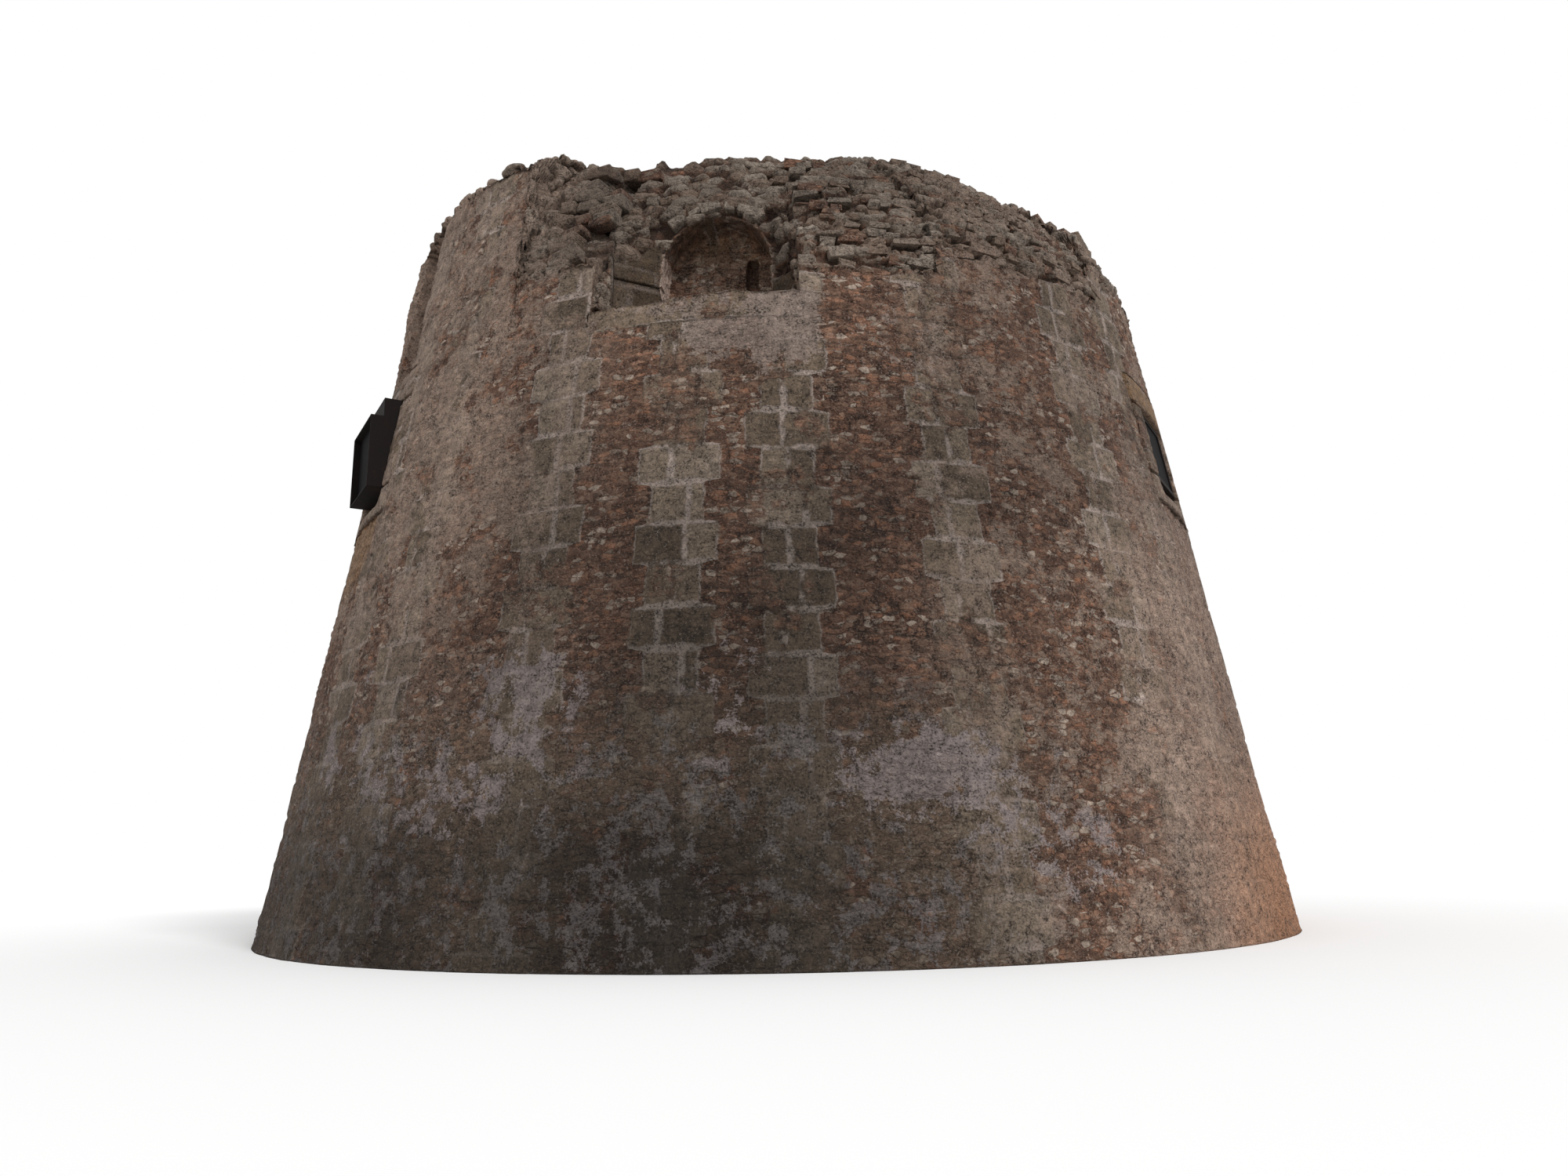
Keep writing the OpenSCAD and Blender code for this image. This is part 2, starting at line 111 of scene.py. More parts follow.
# Soft spots on the face: how strong, at which angle, how wide, at which level and how high
TONE_SPOTS = [
    (-0.3, 8, 8, 4.4, 1.3), (-0.26, -12, 28, 2.8, 0.9), (0.2, 12, 12, 8.2, 0.4),
    (-0.2, -26, 10, 5.3, 1.2),
]
SALT_SPOTS = [
    (0.95, 12, 8, 1.85, 0.5), (0.75, -23, 6, 2.9, 0.6), (0.5, -27, 12, 1.7, 0.7),
    (0.55, -4, 4, 2.7, 0.8), (0.5, 25, 9, 1.1, 0.6), (0.35, -48, 10, 2.2, 1.3),
    (0.4, 14, 8, 6.9, 0.7),
]
# Primes that stir the whole numbers of a point
PRIMES = (374761393, 668265263, 1440662683)
STIR, LAST_STIR = 1274126177, 2246822519
BITS = 0xFFFFFFFF


def lattice(cells, seed):
    """A random number from 0 to 1 for each whole-numbered point."""
    n = cells[..., 0] * PRIMES[0] + cells[..., 1] * PRIMES[1] + cells[..., 2] * PRIMES[2]
    n = (n + seed * STIR) & BITS
    n = ((n ^ (n >> 13)) * STIR) & BITS
    n = ((n ^ (n >> 15)) * LAST_STIR) & BITS
    return ((n ^ (n >> 16)) & 0xFFFFFF) / 0xFFFFFF


def smooth(low, high, value):
    """Rises from 0 to 1 as value goes from low to high."""
    t = np.clip((value - low) / (high - low), 0, 1)
    return t * t * (3 - 2 * t)


def grain(points, size, seed, octaves=1):
    """Soft noise from -1 to 1 that varies over about size metres."""
    total = np.zeros(points.shape[:-1])
    weight = 0
    for octave in range(octaves):
        p = points * (2 ** octave / size)
        cell = np.floor(p).astype(np.int64)
        f = p - cell
        f = f * f * (3 - 2 * f)
        value = np.zeros(points.shape[:-1])
        for corner in range(8):
            offset = np.array([corner & 1, corner >> 1 & 1, corner >> 2 & 1])
            share = np.where(offset == 1, f, 1 - f).prod(-1)
            value += share * lattice(cell + offset, seed + octave)
        total += (value * 2 - 1) * 0.5 ** octave
        weight += 0.5 ** octave
    return total / weight


def stones(points, size, flatness, seed):
    """Stones packed side by side: height over the joints, from 0 to 1, and a number for each."""
    p = points / (size * np.array([1, 1, flatness]))
    cell = np.floor(p).astype(np.int64)
    far, scatter, gain = 9.0, 0.8, 1.6
    nearest = np.full(points.shape[:-1], far)
    second = np.full(points.shape[:-1], far)
    number = np.zeros(points.shape[:-1])
    for i in range(27):
        near = cell + np.array([i % 3 - 1, i // 3 % 3 - 1, i // 9 - 1])
        centre = near + 0.5
        for axis in range(3):
            centre[..., axis] += (lattice(near, seed + axis) - 0.5) * scatter
        distance = np.sqrt(((p - centre) ** 2).sum(-1))
        closer = distance < nearest
        second = np.where(closer, nearest, np.minimum(second, distance))
        number = np.where(closer, lattice(near, seed + 7), number)
        nearest = np.where(closer, distance, nearest)
    return np.clip((second - nearest) * gain, 0, 1), number


def polar(angles, radii, heights):
    """Points from angles round the axis, measured from the front towards the right."""
    a = np.radians(angles)
    return np.stack([radii * np.sin(a), -radii * np.cos(a), heights + 0 * a], -1)


def angle_of(points):
    return np.degrees(np.arctan2(points[..., 0], -points[..., 1]))


def face_radius(z):
    return FOOT_RADIUS - z * BATTER


def rim_radius(a):
    return np.interp(a, RIM_ANGLES, RIM_RADII)


def rim_level(a):
    return RIM - np.interp(a, DROP_ANGLES, DROPS)


def stepped(a, values):
    """The values of the broken top's stretches, with a steep step between neighbours."""
    result = np.full(np.shape(a), float(values[0]))
    for k in range(1, len(values)):
        step = np.clip((a - BREAK_ANGLES[k]) / STEP_WIDTH + 0.5, 0, 1)
        result += (values[k] - values[k - 1]) * step
    return result


def slope_at(a, t, top, swell):
    """Radius and level of the ruin's slope, t of the way from the face's top to the rim."""
    start = face_radius(top) - LIP
    turn = np.radians(a)
    wear = np.sin(23 * turn + np.radians(335) * t) * np.sin(11 * turn - np.radians(205) * t)
    wear *= ROUGHNESS * np.clip(5 - 5 * t, 0, 1)
    return start + (rim_radius(a) - start) * t ** swell + wear, top + t * (rim_level(a) - top)


def resampled(path, count):
    """A path of points, evenly spaced again."""
    lengths = np.concatenate([[0], np.cumsum(np.sqrt((np.diff(path, axis=0) ** 2).sum(1)))])
    even = np.linspace(0, lengths[-1], count)
    return np.stack([np.interp(even, lengths, path[:, i]) for i in (0, 1)], 1)


def wall_columns(from_a, to_a, step):
    """Angles of a length's columns, packed closely where the broken top steps up or down."""
    count = max(2, round(math.radians(to_a - from_a) * MEAN_RADIUS / step))
    angles = list(np.linspace(from_a, to_a, count + 1))
    for k in range(1, len(BREAK_LEVELS)):
        jump = abs(BREAK_LEVELS[k] - BREAK_LEVELS[k - 1])
        low, high = BREAK_ANGLES[k] - STEP_WIDTH / 2, BREAK_ANGLES[k] + STEP_WIDTH / 2
        if jump > 0.1 and from_a < low and high < to_a:
            angles = [a for a in angles if not low - 0.1 < a < high + 0.1]
            angles += list(np.linspace(low, high, 2 + round(jump / (3 * step))))
    return np.array(sorted(angles))


def bond_at(points):
    """How the chains' blocks lie at points of the face: the distance in from a chain's toothed
    edge, the distance from the joint inside a course, the course, and a number for the block."""
    a = angle_of(points)
    a = np.where(a < FIRST_ANGLE, a + 360, a)
    z = points[..., 2]
    radius = np.hypot(points[..., 0], points[..., 1])
    best = np.full(a.shape, 99.0)
    course = np.zeros(a.shape)
    chain = np.zeros(a.shape)
    for i, centre in enumerate(CHAINS + [CHAINS[0] + 360]):
        across = radius * np.radians(a - centre)
        nearer = np.abs(across) < np.abs(best)
        index = i % len(CHAINS)
        start = -COURSE * (FIRST_DROP + DROP_SPREAD * (index * DROP_TURN % 1))
        course = np.where(nearer, (z - start) / COURSE, course)
        chain = np.where(nearer, index, chain)
        best = np.where(nearer, across, best)
    row = np.floor(course).astype(np.int64)
    key = np.stack([row, chain.astype(np.int64), row * 0], -1)
    half = np.where((row + chain) % 2 == 0, LONG_BLOCK, SHORT_BLOCK) / 2
    split = (lattice(key, 3) - 0.5) * 0.9 * half
    right = (best > split).astype(np.int64)
    number = lattice(np.stack([row, chain.astype(np.int64), right + 1], -1), 5)
    return half - np.abs(best), best - split, course, number


def relief(points, core):
    """Height of the worn surface over the plain one, what each point belongs to, and its tone,
    which holds painted shade and painted sunlight.
    core is 1 on the fallen top's rubble and 0 on the standing face."""
    a = angle_of(points)
    z = points[..., 2]
    # The chains' blocks, worn round at their edges and flaking
    inside, joint, course, block = bond_at(points)
    ragged = grain(points, 0.22, 11, 2) * RAGGED
    share = course - np.floor(course)
    bed = np.minimum(share, 1 - share) * COURSE
    edge = np.minimum(np.minimum(bed, np.abs(joint)), np.clip(inside, 0, 1))
    dressed = smooth(-0.01, 0.03, inside + ragged) * (1 - core)
    block_relief = -0.004 - 0.016 * (1 - smooth(0.0, 0.045, edge)) - 0.012 * block
    block_relief -= 0.02 * smooth(0.1, 0.7, grain(points, 0.16, 31, 2))
    # The panels' small stones, under what is left of their coat
    small, small_number = stones(points, *SMALL_STONES)
    rubble_relief = -0.05 + 0.03 * np.sqrt(small) + 0.012 * grain(points, 0.35, 47, 2)
    rubble_relief -= 0.03 * smooth(0.35, 0.8, grain(points, 0.3, 53, 2))
    coat = smooth(0.1, 0.5, grain(points, 1.7, 59, 2) + 0.35 * smooth(5, 8, z))
    rubble_relief += 0.022 * coat * (1 - core)
    face = dressed * block_relief + (1 - dressed) * rubble_relief
    # The core's larger stones: rounded ones on the left, flat courses on the right
    large, large_number = stones(points, *ROUND_STONES)
    flat, flat_number = stones(points, *FLAT_STONES)
    courses = smooth(1, 9, a + 6 * ragged / RAGGED)
    large = np.where(courses > 0.5, flat, large)
    large_number = np.where(courses > 0.5, flat_number, large_number)
    large = large * smooth(*BARE_EARTH, large_number)
    core_relief = -0.09 + 0.1 * np.sqrt(np.clip(large * 2, 0, 1)) + 0.06 * (large_number - 0.5)
    core_relief += 0.03 * small + 0.025 * grain(points, 0.12, 67, 2)
    height = face * (1 - core) + core_relief * core
    height += 0.03 * grain(points, 1.1, 71, 2) - 0.02 * (1 - core)
    # Lime has run down under the ledge, and the stone below the bay is worn to its warm inside
    under_ledge = smooth(-12, -7, a) * smooth(8, 3, a) * smooth(6.3, 7.2, z) * smooth(7.8, 7.6, z)
    worn = smooth(-70, -66, a) * smooth(-50, -56, a) * smooth(6.4, 5.9, z) * smooth(3.9, 5.4, z)
    number = np.where(dressed > 0.5, block, small_number)
    return {
        "tone": tone_with_painted_light(a, z),
        "pale": np.maximum(under_ledge, salted(a, z)) * (1 - core),
        "warm": worn,
        "height": height,
        "inside": inside + ragged * 0.7 - core,
        "joint": joint,
        "course": course,
        "number": np.where(core > 0.5, large_number, number),
        "mound": np.where(core > 0.5, large, small),
        "core": core,
    }


def around(value, middle, spread):
    """1 at the middle, falling off over the spread."""
    return np.exp(-(((value - middle) / spread) ** 2))


def spotted(a, z, spots):
    """The sum of soft spots on the face."""
    return sum(
        strength * around(a, angle, wide) * around(z, level, high)
        for strength, angle, wide, level, high in spots
    )


def tone_with_painted_light(a, z):
    """How light the wall is painted: damp darkens its foot, painted shade darkens its middle and
    the embrasure's top, and painted sunlight lightens the right side low down.
    """
    tone = 1.14 + spotted(a, z, TONE_SPOTS)
    # Painted shade: the middle of the front is darker
    tone -= 0.38 * around(a, -3, 24) * smooth(7.0, 4.4, z)
    tone -= 0.3 * around(a, -26, 7) * smooth(8.0, 8.6, z)
    tone += 0.25 * smooth(14, 24, a) * smooth(2.0, 1.0, z) * smooth(34, 28, a)
    tone -= 0.24 * around(a, 27, 14) * smooth(3.5, 5.0, z)
    tone -= 0.6 * around(a, -14, 22) * smooth(2.3, 0.9, z)
    tone -= 0.5 * smooth(2.4, 0.9, z) * smooth(-24, -36, a) * smooth(-90, -66, a)
    # Painted sunlight: the right side is lighter low down
    tone += 0.35 * smooth(20, 38, a) * smooth(6, 3, z) * smooth(150, 100, a)
    tone += 0.15 * smooth(-24, -34, a) * smooth(3, 5, z) * smooth(-100, -75, a)
    # Painted shade: darker round the embrasure's top, above 8.2 m
    return np.maximum(tone - 0.2 * smooth(8.2, 9.0, z) * around(a, -12, 16), 0.2)


def salted(a, z):
    """Where salt has whitened the face: patches over the foot, left and right of the middle."""
    return np.clip(spotted(a, z, SALT_SPOTS), 0, 1)


def grid_normals(p):
    """Unit normals of a grid of points."""
    across = np.gradient(p, axis=0)
    along = np.gradient(p, axis=1)
    n = np.cross(across, along)
    return n / np.maximum(np.linalg.norm(n, axis=-1, keepdims=True), 1e-9)


def dress(mesh, found):
    """Writes what relief found on a mesh's points, for the material to read."""
    for name, keys in (
        ("bond", ("inside", "joint", "course")), ("lay", ("number", "mound", "core")),
        ("stain", ("tone", "pale", "warm")),
    ):
        attribute = mesh.attributes.new(name, "FLOAT_VECTOR", "POINT")
        values = np.stack([found[key] for key in keys], -1)
        attribute.data.foreach_set("vector", values.astype(np.float32).ravel())


def finished(name, bm, nodes):
    """Turns a bmesh into a piece that rides on the tower and stands for CAD nodes."""
    mesh = bpy.data.meshes.new(name)
    bm.to_mesh(mesh)
    bm.free()
    piece = bpy.data.objects.new(name, mesh)
    bpy.context.scene.collection.objects.link(piece)
    mesh.materials.append(wall_stone)
    mesh.polygons.foreach_set("use_smooth", [True] * len(mesh.polygons))
    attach(piece, "root")
    if nodes:
        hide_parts(*nodes)
    return piece


def face_path(low, even_top, top, even_rows, face_rows):
    """Radius and level up a column's face. Its lower rows are level with its neighbours'."""
    rows = np.linspace(low, even_top, even_rows, endpoint=False)
    rows = np.append(rows, np.linspace(even_top, top, face_rows - even_rows))
    return [(face_radius(z), z) for z in rows]


def flat_path(low, top, top_rows):
    """The flat top of a length that ends under an opening, and its plain hidden side."""
    path = [(face_radius(top) - SKIN * t / top_rows, top) for t in range(1, top_rows + 1)]
    return path + [(face_radius(z) - SKIN, z) for z in (top * 0.7 + low * 0.3, low)]


def ruin_path(a, top, swell, slope_rows):
    """The ruin's slope, the rim, and its inner side down to the walk over the dome."""
    rim_r, rim_z = rim_radius(a), rim_level(a)
    slope = np.stack(slope_at(a, np.linspace(0, 1, 90), top, swell), 1)
    slope = np.vstack([[face_radius(top), top], slope])
    slope = resampled(slope, slope_rows + 1)[1:]
    crown = [(rim_r + (WALK_RADIUS - rim_r) * t, rim_z) for t in np.linspace(0.06, 1, 15)]
    inner = [(WALK_RADIUS, z) for z in np.linspace(rim_z, WALK_LEVEL, 10)[1:]]
    return [tuple(p) for p in slope] + crown + inner


def hidden_path(low):
    """The plain side that the inner masonry covers, from the dome's top down to low."""
    path = [(WALK_RADIUS, DOME_TOP), (DOME_RADIUS, DOME_TOP), (DOME_RADIUS, CHAMBER_HEAD)]
    if low < CHAMBER_HEAD:
        path.append((face_radius(CHAMBER_HEAD) - SKIN, CHAMBER_HEAD))
    else:
        path.append((DOME_RADIUS, low))
    return path + [(face_radius(low) - SKIN, low)]


def lay_ledge(points, found):
    """Lays the ledge's stones: a long one, and the big pale block that ends it on the right."""
    ledge = points[..., 2] > LEDGE_FOOT
    end = (angle_of(points) - LEDGE_JOINT) * math.radians(1) * LEDGE_RADIUS
    for key, value in (
        ("inside", 0.3), ("joint", end), ("course", (points[..., 2] - LEDGE_FOOT) / COURSE),
        ("number", 0.6 + 0.3 * (end > 0)), ("pale", 0.5 + 0.35 * (end > 0)),
    ):
        found[key] = np.where(ledge, value, found[key])


def cut_back(heights, fade, a, radius, z, core):
    """Cuts the groove over the bay and the rubble that has washed down over the embrasure's two
    upper corners, and leaves the face proud left of the bay."""
    over_bay = np.abs(radius * np.sin(np.radians(a - BAY_ANGLE))) < WINDOW_WIDTH / 2
    groove = over_bay & (z > CHAMBER_HEAD) & (radius > face_radius(z) - SKIN)
    heights -= np.where(groove & (core < 0.5), SKIN * 0.97, 0) * fade
    heights -= 0.3 * smooth(-28, -20.8, a) * (a < 0) * smooth(8.4, 9.3, z) * core * fade
    heights -= 0.14 * smooth(8.5, 3.5, a) * (a > 0) * smooth(8.4, 8.9, z) * core * fade
    proud = 0.1 * smooth(7.6, 9.4, z) * smooth(-66.5, -68.5, a) * (1 - core)
    heights += proud * (a > -90) * fade


def ragged_steps(points, fade, a, z, from_a, to_a):
    """Turns points to and fro round the axis near the steps of the broken top."""
    ragged = grain(points, 0.55, 97, 3) * fade
    twist = np.zeros(a.shape)
    for angle in BREAK_ANGLES:
        twist += smooth(1.6, 0.2, np.abs(a - angle)) * (z > 7.9)
    turn = np.radians(ragged * twist * 0.9)
    turn *= smooth(0, 0.6, a - from_a) * smooth(0, 0.6, to_a - a)
    x, y = points[..., 0].copy(), points[..., 1].copy()
    points[..., 0] = x * np.cos(turn) - y * np.sin(turn)
    points[..., 1] = x * np.sin(turn) + y * np.cos(turn)


def closed_sheet(points):
    """A bmesh of a grid of points, closed at its back and, with sharp edges, at its ends."""
    columns, rows = points.shape[:2]
    bm = bmesh.new()
    bmesh.ops.create_grid(bm, x_segments=rows - 1, y_segments=columns - 1, size=1)
    bm.verts.ensure_lookup_table()
    for v, p in zip(bm.verts, points.reshape(-1, 3)):
        v.co = p
    first = [bm.verts[c * rows] for c in range(columns)]
    last = [bm.verts[c * rows + rows - 1] for c in range(columns)]
    for c in range(columns - 1):
        bm.faces.new((last[c], first[c], first[c + 1], last[c + 1]))
    caps = [bm.faces.new([bm.verts[r] for r in range(rows)])]
    caps.append(bm.faces.new([bm.verts[(columns - 1) * rows + r] for r in range(rows - 1, -1, -1)]))
    for edge in caps[0].edges[:] + caps[1].edges[:]:
        edge.smooth = False
    bmesh.ops.recalc_face_normals(bm, faces=bm.faces)
    return bm


def wall_length(name, from_a, to_a, low, high, step, nodes):
    """One length of the wall, from low to high, or to the rim where high is None: the face, the
    ruin's slope, the top, and plain hidden sides."""
    angles = wall_columns(from_a, to_a, step)
    flat_top = high is not None
    level = np.full(len(angles), high if flat_top else 0.0)
    within = np.clip(angles, from_a + 0.18, to_a - 0.18)
    tremble = grain(polar(angles, 6 + 0 * angles, 0 * angles + 3), 0.5, 83, 2)
    if not flat_top:
        level = np.minimum(stepped(within, BREAK_LEVELS) + 0.09 * tremble, RIM - 0.4)
    elif high == LEDGE:
        level += 0.06 * tremble - 0.05 + 0.08 * smooth(-14, -1, angles)
    bulge = stepped(within, BULGES)
    even_rows = round((LEDGE_FOOT - low) / step) if low < LEDGE_FOOT < level.min() else 0
    even_top = LEDGE_FOOT if even_rows else low
    face_rows = even_rows + max(4, round((level.mean() - even_top) / step))
    top_rows = 10 if high == LEDGE else 3
    slope_rows = max(8, round((3.1 if level.mean() < 9 else 1.9) / step))
    grid = []
    cores = []
    for a, top, swell in zip(angles, level, bulge):
        face = face_path(low, even_top, top, even_rows, face_rows)
        over = flat_path(low, top, top_rows) if flat_top else ruin_path(a, top, swell, slope_rows)
        hidden = [] if flat_top else hidden_path(low)
        grid.append(face + over + hidden)
        cores.append([0] * len(face) + [0 if flat_top else 1] * len(over) + [0] * len(hidden))
    profile = np.array(grid)
    core = np.array(cores, float)
    a = np.repeat(angles[:, None], core.shape[1], 1)
    radius, z = profile[..., 0], profile[..., 1]
    points = polar(a, radius, z)
    normals = grid_normals(points)
    # The last rows of the face pass into the core
    if not flat_top:
        for k in (3, 2, 1):
            core[:, face_rows - k] = 1 - 0.3 * k
    found = relief(points, core)
    if high == LEDGE:
        lay_ledge(points, found)
    # Nothing stands out of the hidden side, little of the foot's edge
    fade = np.ones(core.shape[1])
    fade[0] = 0.3
    if flat_top:
        fade[face_rows + (top_rows - 2 if high == LEDGE else 0):] = 0
    else:
        fade[core.shape[1] - len(hidden):] = 0
    heights = found["height"] * fade
    cut_back(heights, fade, a, radius, z, core)
    points += normals * heights[..., None]
    ragged_steps(points, fade, a, z, from_a, to_a)
    points[..., 2] = np.clip(points[..., 2], 0, RIM - CLEAR)
    points[:, 0, 2] = low
    limit = np.hypot(points[..., 0], points[..., 1])
    points[..., :2] *= np.minimum(1, (FOOT_RADIUS - CLEAR) / limit)[..., None]
    piece = finished(name, closed_sheet(points), nodes)
    dress(piece.data, {key: value.ravel() for key, value in found.items()})


class Shade:
    """A socket of a material's nodes, so that shader maths reads as plain expressions."""

    def __init__(self, tree, socket=None):
        self.tree = tree
        self.socket = socket

    def node(self, kind, settings=None, inputs=None, output=0):
        """Adds a node: its type, its settings, then the values or links of its sockets."""
        node = self.tree.nodes.new(kind)
        for key, value in (settings or {}).items():
            if key == "stops":
                while len(node.color_ramp.elements) < len(value):
                    node.color_ramp.elements.new(1)
                for element, (position, colour) in zip(node.color_ramp.elements, value):
                    element.position = position
                    element.color = (*colour, 1)
            else:
                setattr(node, key, value)
        for key, value in (inputs or {}).items():
            if isinstance(value, Shade):
                self.tree.links.new(value.socket, node.inputs[key])
            else:
                node.inputs[key].default_value = value
        return Shade(self.tree, node.outputs[output]) if node.outputs else None

    def maths(self, operation, *values):
        return self.node("ShaderNodeMath", {"operation": operation}, dict(enumerate(values)))

    def __add__(self, other):
        return self.maths("ADD", self, other)

    def __radd__(self, other):
        return self.maths("ADD", other, self)

    def __sub__(self, other):
        return self.maths("SUBTRACT", self, other)

    def __rsub__(self, other):
        return self.maths("SUBTRACT", other, self)

    def __mul__(self, other):
        return self.maths("MULTIPLY", self, other)

    def __rmul__(self, other):
        return self.maths("MULTIPLY", other, self)

    def __abs__(self):
        return self.maths("ABSOLUTE", self)

    def least(self, other):
        return self.maths("MINIMUM", self, other)

    def most(self, other):
        return self.maths("MAXIMUM", self, other)

    def fraction(self):
        return self.maths("FRACT", self)

    def rise(self, low, high):
        """From 0 at low to 1 at high, with soft ends. It falls where high is the lower one."""
        falls = high < low
        span = {"Value": self, "From Min": min(low, high), "From Max": max(low, high)}
        step = self.node("ShaderNodeMapRange", {"interpolation_type": "SMOOTHSTEP"}, span)
        return 1 - step if falls else step

    def parts(self):
        """The three parts of a vector."""
        first = self.node("ShaderNodeSeparateXYZ", None, {"Vector": self})
        outputs = first.socket.node.outputs
        return [Shade(self.tree, outputs[i]) for i in range(3)]

    def noise(self, size, detail=4, roughness=0.6, offset=(0, 0, 0)):
        """Noise on a place, with features of about size metres."""
        moved = self.node("ShaderNodeMapping", None, {"Vector": self, "Location": offset})
        inputs = {"Vector": moved, "Scale": 1 / size, "Detail": detail, "Roughness": roughness}
        return self.node("ShaderNodeTexNoise", None, inputs)

    def ramp(self, *stops):
        return self.node("ShaderNodeValToRGB", {"stops": stops}, {"Fac": self})

    def tinted(self, first, second):
        """This mask's mix of two colours."""
        colours = [c if isinstance(c, Shade) else (*c, 1) for c in (first, second)]
        inputs = {0: self, 6: colours[0], 7: colours[1]}
        return self.node("ShaderNodeMix", {"data_type": "RGBA"}, inputs, 2)

    def scaled(self, colour):
        """A colour times this number."""
        inputs = {0: colour, "Scale": self}
        return self.node("ShaderNodeVectorMath", {"operation": "SCALE"}, inputs)


def new_material(name):
    """An empty material, its nodes, and its place in the object's coordinates."""
    material = bpy.data.materials.new(name)
    material.use_nodes = True
    material.node_tree.nodes.clear()
    s = Shade(material.node_tree)
    return material, s, s.node("ShaderNodeTexCoord", output="Object")


def surface(s, colour, roughness, height, metallic=0.0, specular=0.3):
    """Ends a material: its colour, its roughness, and its fine relief in metres."""
    normal = s.node("ShaderNodeBump", None, {"Height": height, "Distance": 1.0})
    inputs = {"Base Color": colour, "Roughness": roughness, "Metallic": metallic, "Normal": normal}
    inputs["Specular IOR Level"] = specular
    shader = s.node("ShaderNodeBsdfPrincipled", None, inputs)
    s.node("ShaderNodeOutputMaterial", None, {"Surface": shader})


def written(s, name):
    """The three numbers that dress wrote on a mesh's points under this name."""
    return s.node("ShaderNodeAttribute", {"attribute_name": name}, output="Vector").parts()


# Colours of the wall's stains, and of its plastered face in painted sunlight
PALE_COAT = (0.195, 0.142, 0.11)
PLASTER_IN_PAINTED_SUN = (0.185, 0.132, 0.104)
ORANGE_PAINTED_SUN_AT_FOOT = (0.235, 0.118, 0.066)
OCHRE_STAIN = (0.2, 0.115, 0.055)
DAMP_STONE = (0.105, 0.078, 0.056)
PALE_CRUST = (0.165, 0.147, 0.144)
LIME_ABOVE = (0.19, 0.146, 0.123)
SALT_BELOW = (0.21, 0.172, 0.164)


def stains_with_painted_light(place, colour, tone, pale, ochre, grit):
    """The tower's own stains on any stone of the wall, with painted light: a pale coat on the left,
    a warm plastered face on the right in painted sunlight, orange at its foot, damp with a pale
    crust round the foot, and ochre, lime and salt. tone brings painted shade and sunlight too."""
    x, _, z = place.parts()
    broad = place.noise(2.2, 5, 0.65, (3, 1, 7))
    cloud = place.noise(0.6, 8, 0.78, (9, 5, 2))
    mottle = cloud * 0.7 + broad * 0.3
    coat = z.rise(2.2, 4.6) * x.rise(-1.4, -3.2) * mottle.rise(0.46, 0.5)
    coat = coat + x.rise(1.2, 2.6) * mottle.rise(0.5, 0.53)
    colour = (coat * 0.8).tinted(colour, PALE_COAT)
    # Painted sunlight: the plastered right side is warm, and orange low down
    plaster_in_painted_sun = (x + cloud * 2.4 - z * 0.12).rise(4.4, 5.9)
    plaster_in_painted_sun = plaster_in_painted_sun * z.rise(7.5, 4.5) * mottle.rise(0.36, 0.44)
    colour = (plaster_in_painted_sun * 0.7).tinted(colour, PLASTER_IN_PAINTED_SUN)
    painted_sun_at_foot = plaster_in_painted_sun * z.rise(2.8, 0.3) * x.rise(4.4, 6.2) * 0.9
    colour = painted_sun_at_foot.tinted(colour, ORANGE_PAINTED_SUN_AT_FOOT)
    stained = (ochre + (cloud - 0.5) * 1.2).rise(0.3, 0.8) * 0.6
    colour = stained.tinted(colour, OCHRE_STAIN)
    damp = z.rise(3.4, 1.8) * x.rise(3.4, 1.4)
    colour = (damp * cloud.rise(0.6, 0.5) * 0.75).tinted(colour, DAMP_STONE)
    # tone holds painted shade and painted sunlight as well as the wall's own tone
    colour = (tone * (0.45 + 1.1 * broad)).scaled(colour)
    clump = place.noise(0.24, 7, 0.7, (2, 8, 5)) * 0.5 + cloud * 0.35 + grit * 0.15
    crust = clump.rise(0.515, 0.54) * damp
    colour = (crust * 0.72).tinted(colour, tone.most(0.55).scaled(PALE_CRUST))
    lime = (pale + (clump - 0.5) * 4.0).rise(0.49, 0.56)
    salt = z.rise(5, 3.5).tinted(LIME_ABOVE, SALT_BELOW)
    return (lime * 0.82).tinted(colour, (tone.most(0.8) * (0.5 + 1.0 * broad)).scaled(salt))


# The wall's stone: earth, chips and lumps of the rubble, and dressed limestone with joints
JOINT_LIME = (0.3, 0.245, 0.215)
JOINT_SHADE = (0.04, 0.026, 0.019)
PIT_SHADE = (0.022, 0.012, 0.008)
SPECK_LIGHT = (1, 0.82, 0.7)
HOLLOW_PAINTED_SHADE = (0.035, 0.024, 0.018)
wall_stone, s, place = new_material("wall_stone")
inside, joint, course = written(s, "bond")
number, mound, core = written(s, "lay")
tone, pale, ochre = written(s, "stain")
grit = place.noise(0.024, 4, 0.75, (6, 1, 4))
fine = place.noise(0.11, 5, 0.72)
coarse = place.noise(0.45, 5, 0.65, (4, 4, 1))
patch = place.noise(1.2, 6, 0.68, (7, 2, 9))
block_face = (inside + (fine - 0.5) * 0.12).rise(-0.01, 0.02)
cover = (patch + (coarse - 0.5) * 0.5).rise(0.53, 0.59)
bed = (0.5 - abs((course + (coarse - 0.5) * 0.12).fraction() - 0.5)) * COURSE
open_joint = bed.least(abs(joint + (coarse - 0.5) * 0.07)).least(abs(inside) + 0.012)
line = (open_joint + (fine - 0.5) * 0.09 + (coarse - 0.5) * 0.11).rise(0.05, 0.02) * block_face
pointed = line * (patch + (coarse - 0.5) * 0.6).rise(0.58, 0.48)
block_face = block_face * (1 - cover * 0.8)
flat_place = s.node("ShaderNodeMapping", None, {"Vector": place, "Scale": (1, 1, 1.9)})
